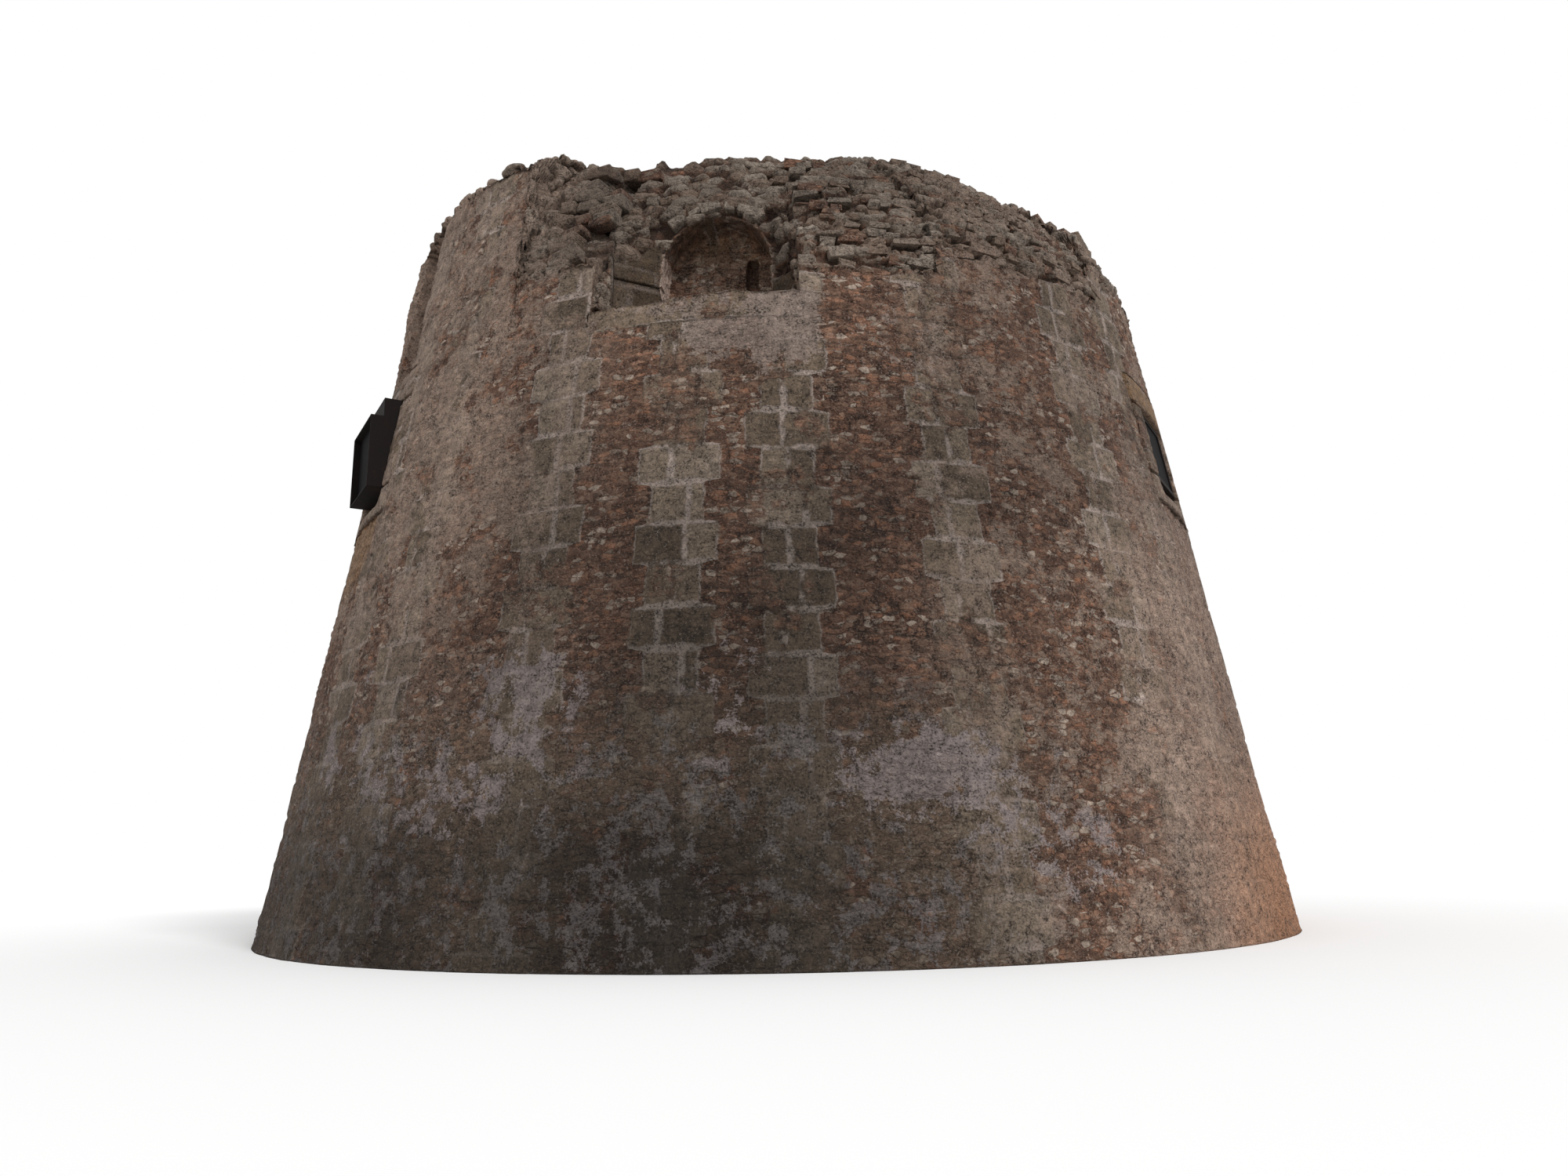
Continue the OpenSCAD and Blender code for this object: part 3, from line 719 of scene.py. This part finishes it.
small_cells = {"Vector": flat_place, "Scale": 8.0, "Randomness": 0.9}
small_number = s.node("ShaderNodeTexVoronoi", None, small_cells, "Color").parts()[0]
seam = s.node("ShaderNodeTexVoronoi", {"feature": "DISTANCE_TO_EDGE"}, small_cells)
chip = (seam + (fine - 0.5) * 0.3).rise(0.02, 0.12)
layer = (place.parts()[2] * 4.2 + (patch - 0.5) * 2 + (coarse - 0.5) * 1.1).fraction()
layer = abs(layer - 0.5).rise(0.42, 0.49) * (patch + fine - 0.5).rise(0.42, 0.52)
earth = (coarse * 0.5 + fine * 0.5).ramp(
    (0.36, (0.045, 0.021, 0.013)), (0.5, (0.118, 0.058, 0.037)), (0.64, (0.19, 0.105, 0.072))
)
chips = (small_number * 0.75 + number * 0.25).ramp(
    (0.15, (0.045, 0.027, 0.019)), (0.34, (0.1, 0.058, 0.039)), (0.5, (0.15, 0.094, 0.066)),
    (0.62, (0.2, 0.095, 0.055)), (0.76, (0.15, 0.12, 0.095)), (0.88, (0.32, 0.26, 0.21)),
)
rubble = (chip * 0.85 * fine.rise(0.34, 0.5)).tinted(earth, chips)
lumps = (number * 0.75 + fine * 0.25).ramp(
    (0.1, (0.075, 0.052, 0.04)), (0.35, (0.125, 0.09, 0.067)), (0.5, (0.165, 0.118, 0.087)),
    (0.65, (0.15, 0.122, 0.098)), (0.8, (0.19, 0.158, 0.128)), (0.95, (0.28, 0.235, 0.19)),
)
rubble = (core * mound.rise(0.04, 0.24) * number.rise(*BARE_EARTH) * 0.9).tinted(rubble, lumps)
ashlar = (number * 0.4 + coarse * 0.3 + fine * 0.3).ramp(
    (0.28, (0.075, 0.053, 0.036)), (0.45, (0.115, 0.083, 0.058)), (0.58, (0.15, 0.112, 0.08)),
    (0.72, (0.2, 0.155, 0.12)),
)
colour = block_face.tinted(rubble, ashlar)
colour = (pointed * 0.8).tinted(colour, JOINT_LIME)
shaded = (line - pointed) * 0.5 + layer * 0.55 * (1 - block_face) * (1 - core)
colour = stains_with_painted_light(place, shaded.tinted(colour, JOINT_SHADE), tone, pale, ochre, grit)
colour = ((2.3 * fine - 0.15) * (2.4 * grit - 0.2)).scaled(colour)
pits = (grit * 0.7 + fine * 0.3 + (coarse - 0.5) * 0.15).rise(0.43, 0.39)
specks = (grit - (fine - 0.5) * 0.3).rise(0.6, 0.65)
colour = (pits * 0.75).tinted(colour, PIT_SHADE)
colour = (specks * 0.5).tinted(colour, (tone * 0.3 + 0.02).tinted((0, 0, 0), SPECK_LIGHT))
# Painted shade: the hollows between stones are darkened, most on the core
colour = ((1 - mound.rise(0.02, 0.2)) * (0.2 + 0.4 * core)).tinted(colour, HOLLOW_PAINTED_SHADE)
height = fine * 0.035 + coarse * 0.03 + grit * 0.012 + chip * 0.008 * (1 - block_face)
surface(s, colour, 0.86 + fine * 0.14, height - pits * 0.012 - layer * 0.012 - line * 0.01)

# The wall's lengths, left to right, with gaps for the stones round the three windows
SCREEN_ANGLE = 60
BACK_ANGLE = 180
SIDE = 8.25
SURROUND_FOOT = 5.65
SURROUND_HEAD = 7.55
HOOD_RISE = 0.27
# Where two lengths meet away from the windows and the ledge
FRONT_JOIN, EAST_JOIN, WEST_JOIN = 27.6, 120, 240
FRONT_STEP = 0.03
BACK_STEP = 0.055
for name, from_a, to_a, low, high, step, nodes in (
    ("wall_bay_foot", BAY_ANGLE - SIDE, BAY_ANGLE + SIDE, 0, SURROUND_FOOT, FRONT_STEP,
     ["rubble_left", "ashlar_left"]),
    ("wall_bay_top", BAY_ANGLE - SIDE, BAY_ANGLE + SIDE, SURROUND_HEAD + HOOD_RISE, None,
     FRONT_STEP, ["rubble_left", "crown_left"]),
    ("wall_front_left", BAY_ANGLE + SIDE, LEDGE_LEFT, 0, None, FRONT_STEP,
     ["rubble_front_left", "ashlar_front_left", "rubble_left", "crown_left", "crown_step"]),
    ("wall_front", LEDGE_LEFT, LEDGE_RIGHT, 0, LEDGE, FRONT_STEP,
     ["rubble_front", "ashlar_front", "rubble_front_left", "ledge_course"]),
    ("wall_front_right", LEDGE_RIGHT, FRONT_JOIN, 0, None, FRONT_STEP,
     ["rubble_front", "ashlar_front_right", "rubble_front_right", "crown_centre"]),
    ("wall_right", FRONT_JOIN, SCREEN_ANGLE - SIDE, 0, None, FRONT_STEP,
     ["rubble_front_right", "ashlar_front_right", "rubble_right", "crown_right", "crown_limb"]),
    ("wall_right_foot", SCREEN_ANGLE - SIDE, SCREEN_ANGLE + SIDE, 0, SURROUND_FOOT, FRONT_STEP,
     ["rubble_front_right"]),
    ("wall_right_top", SCREEN_ANGLE - SIDE, SCREEN_ANGLE + SIDE, SURROUND_HEAD, None, FRONT_STEP,
     ["rubble_front_right", "crown_limb"]),
    ("wall_back_right", SCREEN_ANGLE + SIDE, EAST_JOIN, 0, None, BACK_STEP,
     ["rubble_right", "ashlar_right", "rubble_back_right", "crown_back_right", "crown_limb"]),
    ("wall_back_east", EAST_JOIN, BACK_ANGLE - SIDE, 0, None, BACK_STEP,
     ["rubble_back_right", "ashlar_back_right", "rubble_back", "crown_back_right", "crown_back"]),
    ("wall_back_foot", BACK_ANGLE - SIDE, BACK_ANGLE + SIDE, 0, SURROUND_FOOT, BACK_STEP,
     ["rubble_back", "ashlar_back"]),
    ("wall_back_top", BACK_ANGLE - SIDE, BACK_ANGLE + SIDE, SURROUND_HEAD, None, BACK_STEP,
     ["rubble_back", "crown_back"]),
    ("wall_back_west", BACK_ANGLE + SIDE, WEST_JOIN, 0, None, BACK_STEP,
     ["rubble_back_left", "ashlar_back_left", "ashlar_back", "crown_back", "crown_back_left"]),
    ("wall_back_left", WEST_JOIN, BAY_ANGLE + 360 - SIDE, 0, None, BACK_STEP,
     ["rubble_back_left", "rubble_left", "ashlar_left", "ashlar_back_left", "crown_back_left"]),
):
    wall_length(name, from_a, to_a, low, high, step, nodes)

# The masonry round the embrasure
# The rubble core over and beside the vaulted throat, with the throat's back wall and its slot.
# Earth has washed down over the arch, and lime coat is left on the throat's sides.
EMBRASURE_ANGLE = -7.5
THROAT_HALF = 0.715
THROAT_FRONT = 5.2
THROAT_BACK = 4.7
SPRINGING = 8.56
PLATFORM = 7.63
# How fast the splay opens on each side, and the slant of its left one
SPLAY_LEFT, SPLAY_RIGHT = 1.41, 0.81
SPLAY_SLANT = 1.73


def in_embrasure(points):
    """Places in the embrasure's own plan: to the right of its middle, and out from the axis."""
    turn = math.radians(EMBRASURE_ANGLE)
    x, y = points[..., 0], points[..., 1]
    return x * math.cos(turn) + y * math.sin(turn), x * math.sin(turn) - y * math.cos(turn)


def from_embrasure(right, out, z):
    """The other way round: a point of the embrasure's own plan, in the tower's frame."""
    turn = math.radians(EMBRASURE_ANGLE)
    x = right * math.cos(turn) + out * math.sin(turn)
    return Vector((x, right * math.sin(turn) - out * math.cos(turn), z))


def skinned(nodes, voxel):
    """A copy of CAD nodes' solids, fused where they touch, with an even skin of small faces, and
    the skin's points and normals."""
    bm = bmesh.new()
    for node in nodes:
        bm.from_mesh(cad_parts[node].data)
    bmesh.ops.remove_doubles(bm, verts=bm.verts, dist=0.0001)
    mesh = bpy.data.meshes.new("solid")
    bm.to_mesh(mesh)
    bm.free()
    solid = bpy.data.objects.new("solid", mesh)
    bpy.context.scene.collection.objects.link(solid)
    remesh = solid.modifiers.new("skin", "REMESH")
    remesh.mode = "VOXEL"
    remesh.voxel_size = voxel
    graph = bpy.context.evaluated_depsgraph_get()
    skin = bpy.data.meshes.new_from_object(solid.evaluated_get(graph))
    bpy.data.objects.remove(solid)
    return skin, *points_of(skin)


def points_of(mesh):
    """A mesh's points and their normals, as arrays."""
    count = len(mesh.vertices)
    points = np.zeros(count * 3, np.float32)
    mesh.vertices.foreach_get("co", points)
    normals = np.zeros(count * 3, np.float32)
    mesh.vertex_normals.foreach_get("vector", normals)
    return points.reshape(-1, 3).astype(float), normals.reshape(-1, 3).astype(float)


def placed(name, mesh, points, found, nodes):
    """Gives a skin its moved points and what it is, and makes it a piece."""
    mesh.vertices.foreach_set("co", points.astype(np.float32).ravel())
    mesh.update()
    bm = bmesh.new()
    bm.from_mesh(mesh)
    piece = finished(name, bm, nodes)
    dress(piece.data, found)


def coursed(points, along, foot, course, block, seed):
    """How dressed stone lies in courses: what a wall's material reads of it."""
    level = (points[..., 2] - foot) / course
    row = np.floor(level)
    shift = along / block + 0.5 * (row % 2) + 0.3
    column = np.floor(shift)
    share = shift - column
    joint = np.minimum(share, 1 - share) * block
    bed = np.minimum(level - row, row + 1 - level) * course
    number = lattice(np.stack([row, column, 0 * row], -1).astype(np.int64), seed)
    height = -0.012 * smooth(0.03, 0.0, np.minimum(bed, joint)) - 0.006 - 0.012 * number
    height -= 0.012 * smooth(0.15, 0.8, grain(points, 0.2, seed, 3))
    return {
        "tone": tone_with_painted_light(angle_of(points), points[..., 2]),
        "pale": 0 * joint,
        "warm": 0 * joint,
        "height": height,
        "inside": 0.3 + 0 * joint,
        "joint": joint,
        "course": level,
        "number": number,
        "mound": 0.8 + 0 * joint,
        "core": 0 * joint,
    }


MASS_NODES = ["crown_front", "embrasure_back_wall", "embrasure_arch"]
MASS_SKIN = 0.033
mass, points, normals = skinned(MASS_NODES, MASS_SKIN)
a = angle_of(points)
right, out = in_embrasure(points)
z = points[:, 2].copy()
# The splay's left side is faced with slabs up to a ragged slope
off_left = (right + THROAT_HALF + (out - THROAT_FRONT) * SPLAY_LEFT) / SPLAY_SLANT
splay = smooth(0.1, 0.06, np.abs(off_left)) * smooth(-0.02, 0.03, out - THROAT_FRONT)
splay *= z > PLATFORM
slab_top = 8.95 - 0.95 * (out - THROAT_FRONT) + 0.35 * grain(points, 0.35, 15, 2)
splay *= smooth(0.03, -0.03, z - slab_top)
# The throat's sides and vault are smoother than the core
throat = smooth(THROAT_HALF + 0.06, THROAT_HALF + 0.02, np.abs(right)) * (out > 4.2)
throat *= smooth(THROAT_FRONT + 0.03, THROAT_FRONT - 0.05, out)
vault = np.hypot(right, np.maximum(z - SPRINGING, 0))
throat *= smooth(THROAT_HALF + 0.08, THROAT_HALF + 0.03, vault) * (z > PLATFORM - 0.05)
found = relief(points, (1 - 0.6 * throat) * (1 - splay))
slabs = coursed(points, out * 1.6, PLATFORM, 0.44, 0.75, 8)
for key in ("height", "inside", "joint", "course", "number", "mound"):
    found[key] = np.where(splay > 0.5, slabs[key], found[key])
# Its two ends run into the wall's lengths, and its hidden inner side stays plain
side = smooth(0.5, 0.1, a - LEDGE_LEFT) + smooth(0.5, 0.1, LEDGE_RIGHT - a)
sideways = np.abs(normals[:, 0] * np.cos(np.radians(a)) + normals[:, 1] * np.sin(np.radians(a)))
buried = side * smooth(0.6, 0.9, sideways)
hidden = smooth(3.5, WALK_RADIUS, np.hypot(points[:, 0], points[:, 1]))
moved = found["height"] * (1 - 0.72 * throat) * (1 - hidden)
points += normals * (moved * (1 - buried) + 0.08 * buried)[:, None]
points[:, 2] = np.minimum(points[:, 2], RIM - CLEAR)
lime = throat * smooth(0.06, 0.02, THROAT_HALF - np.abs(right)) * (out > THROAT_BACK + 0.03)
found["pale"] = lime * smooth(9.0, 8.7, points[:, 2])
found["warm"] = 0.4 * throat * smooth(8.5, 8.9, points[:, 2]) + 0.5 * splay
# The splay is darkened, painted shade of the embrasure's recess
found["tone"] *= (1 + 0.1 * throat + 1.6 * found["pale"]) * (1 - 0.56 * splay)
placed("embrasure_mass", mass, points, found, MASS_NODES)

# The embrasure's facings
# Big slabs of tan limestone line the splay's foot on the left, and a shorter facing is left on
# the right. They are butted, with thin lime joints.
SLAB_COURSE = 0.62
SLAB_LENGTH = 0.9
SLAB_SKIN = 0.022
SLAB_PAINTED_SHADE = 0.42
for name, node, seed in (
    ("splay_slabs_left", "embrasure_left_jamb", 5), ("splay_slabs_right", "embrasure_right_jamb", 6)
):
    mesh, points, normals = skinned([node], SLAB_SKIN)
    right, out = in_embrasure(points)
    found = coursed(points, out * 1.6, PLATFORM, SLAB_COURSE, SLAB_LENGTH, seed)
    points += normals * found["height"][:, None]
    # Painted shade of the embrasure's recess darkens the slabs
    found["tone"] *= SLAB_PAINTED_SHADE
    found["warm"] += 0.5
    placed(name, mesh, points, found, [node])

# The window stones
# Lintels, jambs and sloping sills of dressed limestone round the three windows. The lintel over
# the right one is stained with ochre.
BLOCK_LENGTH = 2.5
BLOCK_SKIN = 0.045
for name, node, course in (
    ("lintel_stones", "window_lintels", 0.5), ("jamb_stones", "window_jambs", 0.45),
    ("sill_stones", "window_sills", 0.5),
):
    mesh, points, normals = skinned([node], BLOCK_SKIN)
    radius = np.hypot(points[:, 0], points[:, 1])
    found = coursed(points, radius, 0.1, course, BLOCK_LENGTH, 9)
    points += normals * found["height"][:, None]
    found["pale"] += 0.3
    found["warm"] += 0.9 * (points[:, 0] > 3) * (points[:, 2] > CHAMBER_HEAD - 0.05)
    placed(name, mesh, points, found, [node])

# Loose stones
# Stones of the core that stand out of its earth mortar in rough courses: thin flat ones on the
# right, and bigger ones at the left and over the embrasure.
STONE_CLEAR = 0.001
STONE_RADIUS = 5
WORN_EDGE = 0.022


def stone(bm, layer, middle, along, up, size, number):
    """Adds one rough block, with its width along the wall, its depth and its height."""
    along = along.normalized()
    outward = along.cross(up).normalized()
    up = outward.cross(along)
    turn = Matrix((along, outward, up)).transposed().to_4x4()
    place = Matrix.Translation(middle) @ turn @ Matrix.Diagonal((*size, 1))
    for v in bmesh.ops.create_cube(bm, size=1, matrix=place)["verts"]:
        v[layer] = number


def stone_piece(name, bm, layer, chip, seed):
    """Knocks the blocks' corners about, rounds their edges and makes them one piece."""
    corners = np.array([v.co for v in bm.verts])
    rough = np.random.default_rng(seed)
    sizes = np.linalg.norm(corners - corners.reshape(-1, 8, 3).mean(1).repeat(8, 0), axis=1)
    moved = corners + rough.uniform(-0.13, 0.13, corners.shape) * sizes[:, None]
    for v, co in zip(bm.verts, moved):
        v.co = co
    bmesh.ops.bevel(
        bm, geom=bm.edges[:], offset=chip, affect="EDGES", segments=2, profile=0.5, material=-1,
        clamp_overlap=True,
    )
    for v in bm.verts:
        v.co.z = min(v.co.z, RIM - STONE_CLEAR)
    numbers = np.array([v[layer] for v in bm.verts])
    bm.verts.layers.float.remove(layer)
    piece = finished(name, bm, [])
    points, _ = points_of(piece.data)
    nothing = 0 * numbers
    found = dict.fromkeys(("pale", "warm", "joint", "course"), nothing)
    found["tone"] = tone_with_painted_light(angle_of(points), points[:, 2])
    found.update(inside=nothing - 1, number=numbers, mound=nothing + 0.9, core=nothing + 1)
    dress(piece.data, found)


def opening_at(point):
    """Whether a stone here would hang in the embrasure."""
    right, out = in_embrasure(np.array(point))
    left_side = -THROAT_HALF - (out - THROAT_FRONT) * SPLAY_LEFT
    right_side = THROAT_HALF + (out - THROAT_FRONT) * SPLAY_RIGHT
    return out > 4.9 and left_side - 0.1 < right < right_side + 0.1


def course_of_stones(name, from_a, to_a, low_t, high_t, thickness, width, share, seed):
    """Stones laid in rough courses up the ruin's slope, between two angles and two shares of the
    way up. share says how many of the places have a stone."""
    bm = bmesh.new()
    layer = bm.verts.layers.float.new("number")
    chance = np.random.default_rng(seed)
    middle_a = np.array([(from_a + to_a) / 2])
    height = (1 - low_t) * (RIM - stepped(middle_a, BREAK_LEVELS)[0])
    t = low_t
    while t < high_t:
        thick = chance.uniform(*thickness)
        a = from_a + chance.uniform(0, 3)
        while a < to_a:
            wide = chance.uniform(*width)
            here = np.array([a])
            top, swell = stepped(here, BREAK_LEVELS)[0], stepped(here, BULGES)[0]
            up = np.clip(t + chance.uniform(-0.012, 0.012), 0, 1)
            r, z = slope_at(a, up, top, swell)
            turn = math.degrees(wide / STONE_RADIUS)
            kept = chance.random() < share
            deep, tilt = chance.uniform(0.2, 0.34), chance.uniform(-0.12, 0.12)
            number = chance.random()
            r = r - deep / 2 + 0.05 * chance.random()
            middle = Vector(polar(np.array(a + turn / 2), r, z))
            if kept and not opening_at(middle):
                along = Vector((math.cos(math.radians(a)), math.sin(math.radians(a)), tilt))
                stone(bm, layer, middle, along, Vector((0, 0, 1)), (wide, deep, thick), number)
            a += turn * chance.uniform(0.95, 1.25)
        t += thick / height * chance.uniform(0.9, 1.15)
    stone_piece(name, bm, layer, WORN_EDGE, seed)


course_of_stones("crown_stones_right", 2.5, 56, 0.0, 0.93, (0.05, 0.12), (0.14, 0.36), 0.62, 21)
course_of_stones("crown_stones_left", -31, -21, 0.02, 0.85, (0.1, 0.2), (0.18, 0.4), 0.55, 22)
course_of_stones("crown_stones_middle", -20, 4.5, 0.55, 0.93, (0.08, 0.16), (0.14, 0.32), 0.5, 23)

# The parapet block
# One squared block of the old parapet is left on the right shoulder. It has settled with the
# worn rubble, and is sunk into it.
SETTLED = 0.34
PARAPET_SKIN = 0.025
mesh, points, normals = skinned(["rim_block"], PARAPET_SKIN)
found = coursed(points, points[:, 0], 10.0, 2.0, 3.0, 4)
points += normals * found["height"][:, None]
points[:, 2] -= SETTLED
placed("parapet_block", mesh, points, found, ["rim_block"])

# The arch stones
# A few small pale wedges are left on the vault's edge, half sunk in the earth. The numbers say
# how far each is right of the middle and up from the springing, its width, height and turn.
PALE_NUMBER = 0.97
bm = bmesh.new()
layer = bm.verts.layers.float.new("number")
for right, up, wide, high, turn in (
    (-0.51, 0.68, 0.24, 0.14, 38), (-0.07, 0.85, 0.29, 0.13, 4), (0.18, 0.84, 0.14, 0.13, -8),
    (0.37, 0.79, 0.18, 0.11, -20), (0.54, 0.68, 0.18, 0.12, -36), (-0.3, 0.8, 0.17, 0.1, 20),
):
    middle = from_embrasure(right, THROAT_FRONT - 0.1, SPRINGING + up)
    lean = math.radians(turn)
    along = from_embrasure(math.cos(lean), 0, math.sin(lean))
    upward = from_embrasure(-math.sin(lean), 0, math.cos(lean))
    stone(bm, layer, middle, along, upward, (wide, 0.28, high), PALE_NUMBER)
stone_piece("arch_stones", bm, layer, 0.02, 31)

# The bay, the screens and the inside
# The CAD's own solids: painted sheet steel with patches and runs of rust, dark glass, rough
# inner masonry and lime floors. They get materials only.
RUST_RUN = (0.025, 0.013, 0.009)
dark_steel, s, place = new_material("dark_steel")
rust = place.noise(0.25, 6, 0.7)
speck = place.noise(0.02, 3, 0.6, (3, 3, 3))
run = s.node("ShaderNodeMapping", None, {"Vector": place, "Scale": (9, 9, 0.8)}).noise(1, 4, 0.6)
colour = rust.ramp(
    (0.35, (0.006, 0.004, 0.004)), (0.58, (0.011, 0.007, 0.006)), (0.72, (0.03, 0.014, 0.009))
)
colour = (run.rise(0.55, 0.7) * 0.3).tinted(colour, RUST_RUN)
colour = (0.7 + 0.6 * speck).scaled(colour)
surface(s, colour, 0.6 + rust * 0.35, speck * 0.0015 + rust * 0.004, 0.0, 0.15)

tinted_glass, s, place = new_material("tinted_glass")
dust = place.noise(0.12, 5, 0.7)
colour = dust.ramp((0.35, (0.004, 0.004, 0.005)), (0.7, (0.014, 0.012, 0.011)))
surface(s, colour, 0.5 + dust * 0.4, dust * 0.0004, 0.0, 0.03)

MORTAR = (0.09, 0.062, 0.045)
inner_masonry, s, place = new_material("inner_masonry")
fine = place.noise(0.08, 6, 0.7)
broad = place.noise(0.9, 5, 0.6, (2, 4, 6))
flat_place = s.node("ShaderNodeMapping", None, {"Vector": place, "Scale": (1, 1, 1.7)})
cells = {"Vector": flat_place, "Scale": 3.2}
seam = s.node("ShaderNodeTexVoronoi", {"feature": "DISTANCE_TO_EDGE"}, cells)
stone_number = s.node("ShaderNodeTexVoronoi", None, cells, "Color").parts()[1]
face = (seam + (fine - 0.5) * 0.1).rise(0.03, 0.1)
colour = face.tinted(MORTAR, stone_number.ramp(
    (0.1, (0.12, 0.09, 0.065)), (0.5, (0.17, 0.13, 0.095)), (0.9, (0.23, 0.185, 0.14))
))
colour = ((0.6 + 0.8 * fine) * (0.7 + 0.6 * broad)).scaled(colour)
surface(s, colour, 0.9, fine * 0.012 + face * 0.02)

DAMP_LIME = (0.085, 0.07, 0.045)
lime_floor, s, place = new_material("lime_floor")
fine = place.noise(0.05, 6, 0.7)
broad = place.noise(0.8, 6, 0.65, (5, 1, 1))
colour = (broad * 0.7 + fine * 0.3).ramp(
    (0.35, (0.11, 0.085, 0.062)), (0.5, (0.2, 0.165, 0.125)), (0.65, (0.29, 0.25, 0.2))
)
colour = (broad + fine * 0.4).rise(0.62, 0.55).tinted(colour, DAMP_LIME)
surface(s, (0.6 + 0.8 * fine).scaled(colour), 0.88, fine * 0.012 + broad * 0.02)

FINISHES = {
    dark_steel: ["bay_sleeve", "bay_hood", "screen_frames"],
    tinted_glass: ["bay_glass", "screen_glass"],
    lime_floor: ["chamber_floor", "terrace"],
    inner_masonry: [
        "foundation_mass", "chamber_wall_front", "chamber_wall_right", "chamber_wall_left",
        "window_aprons", "dome",
    ],
}
for material, nodes in FINISHES.items():
    for name in nodes:
        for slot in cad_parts[name].material_slots:
            slot.material = material

# Floor, light and the end
# A plain pale floor under the foot, soft light from all round and one broad key light.
FLOOR_LIT = (0.6, 0.59, 0.58)
FLOOR_SEEN = (0.93, 0.93, 0.93)
WHITE = (1, 1, 1, 1)
floor_stone, s, _ = new_material("floor_pale")
seen = s.node("ShaderNodeLightPath", output="Is Camera Ray")
plain = s.node("ShaderNodeBsdfDiffuse", None, {"Color": seen.tinted(FLOOR_LIT, FLOOR_SEEN)})
s.node("ShaderNodeOutputMaterial", None, {"Surface": plain})
bm = bmesh.new()
bmesh.ops.create_grid(bm, x_segments=1, y_segments=1, size=400)
mesh = bpy.data.meshes.new("floor")
bm.to_mesh(mesh)
bm.free()
floor = bpy.data.objects.new("floor", mesh)
mesh.materials.append(floor_stone)
bpy.context.scene.collection.objects.link(floor)

world = bpy.data.worlds.new("world")
bpy.context.scene.world = world
world.use_nodes = True
world.node_tree.nodes.clear()
w = Shade(world.node_tree)
seen, glossy, clear = [
    w.node("ShaderNodeLightPath", output=ray)
    for ray in ("Is Camera Ray", "Is Glossy Ray", "Is Transmission Ray")
]
direct = seen.most(glossy).most(clear)
soft = w.node("ShaderNodeBackground", None, {"Color": WHITE, "Strength": 0.85})
white = w.node("ShaderNodeBackground", None, {"Color": WHITE, "Strength": 1.0})
both = w.node("ShaderNodeMixShader", None, {0: direct, 1: soft, 2: white})
w.node("ShaderNodeOutputWorld", None, {"Surface": both})
sun_data = bpy.data.lights.new("key", "SUN")
sun_data.energy = 1.3
sun_data.angle = math.radians(14)
sun = bpy.data.objects.new("key", sun_data)
sun.rotation_euler = (math.radians(48), 0, math.radians(38))
bpy.context.scene.collection.objects.link(sun)
bpy.context.scene.view_settings.view_transform = "Standard"
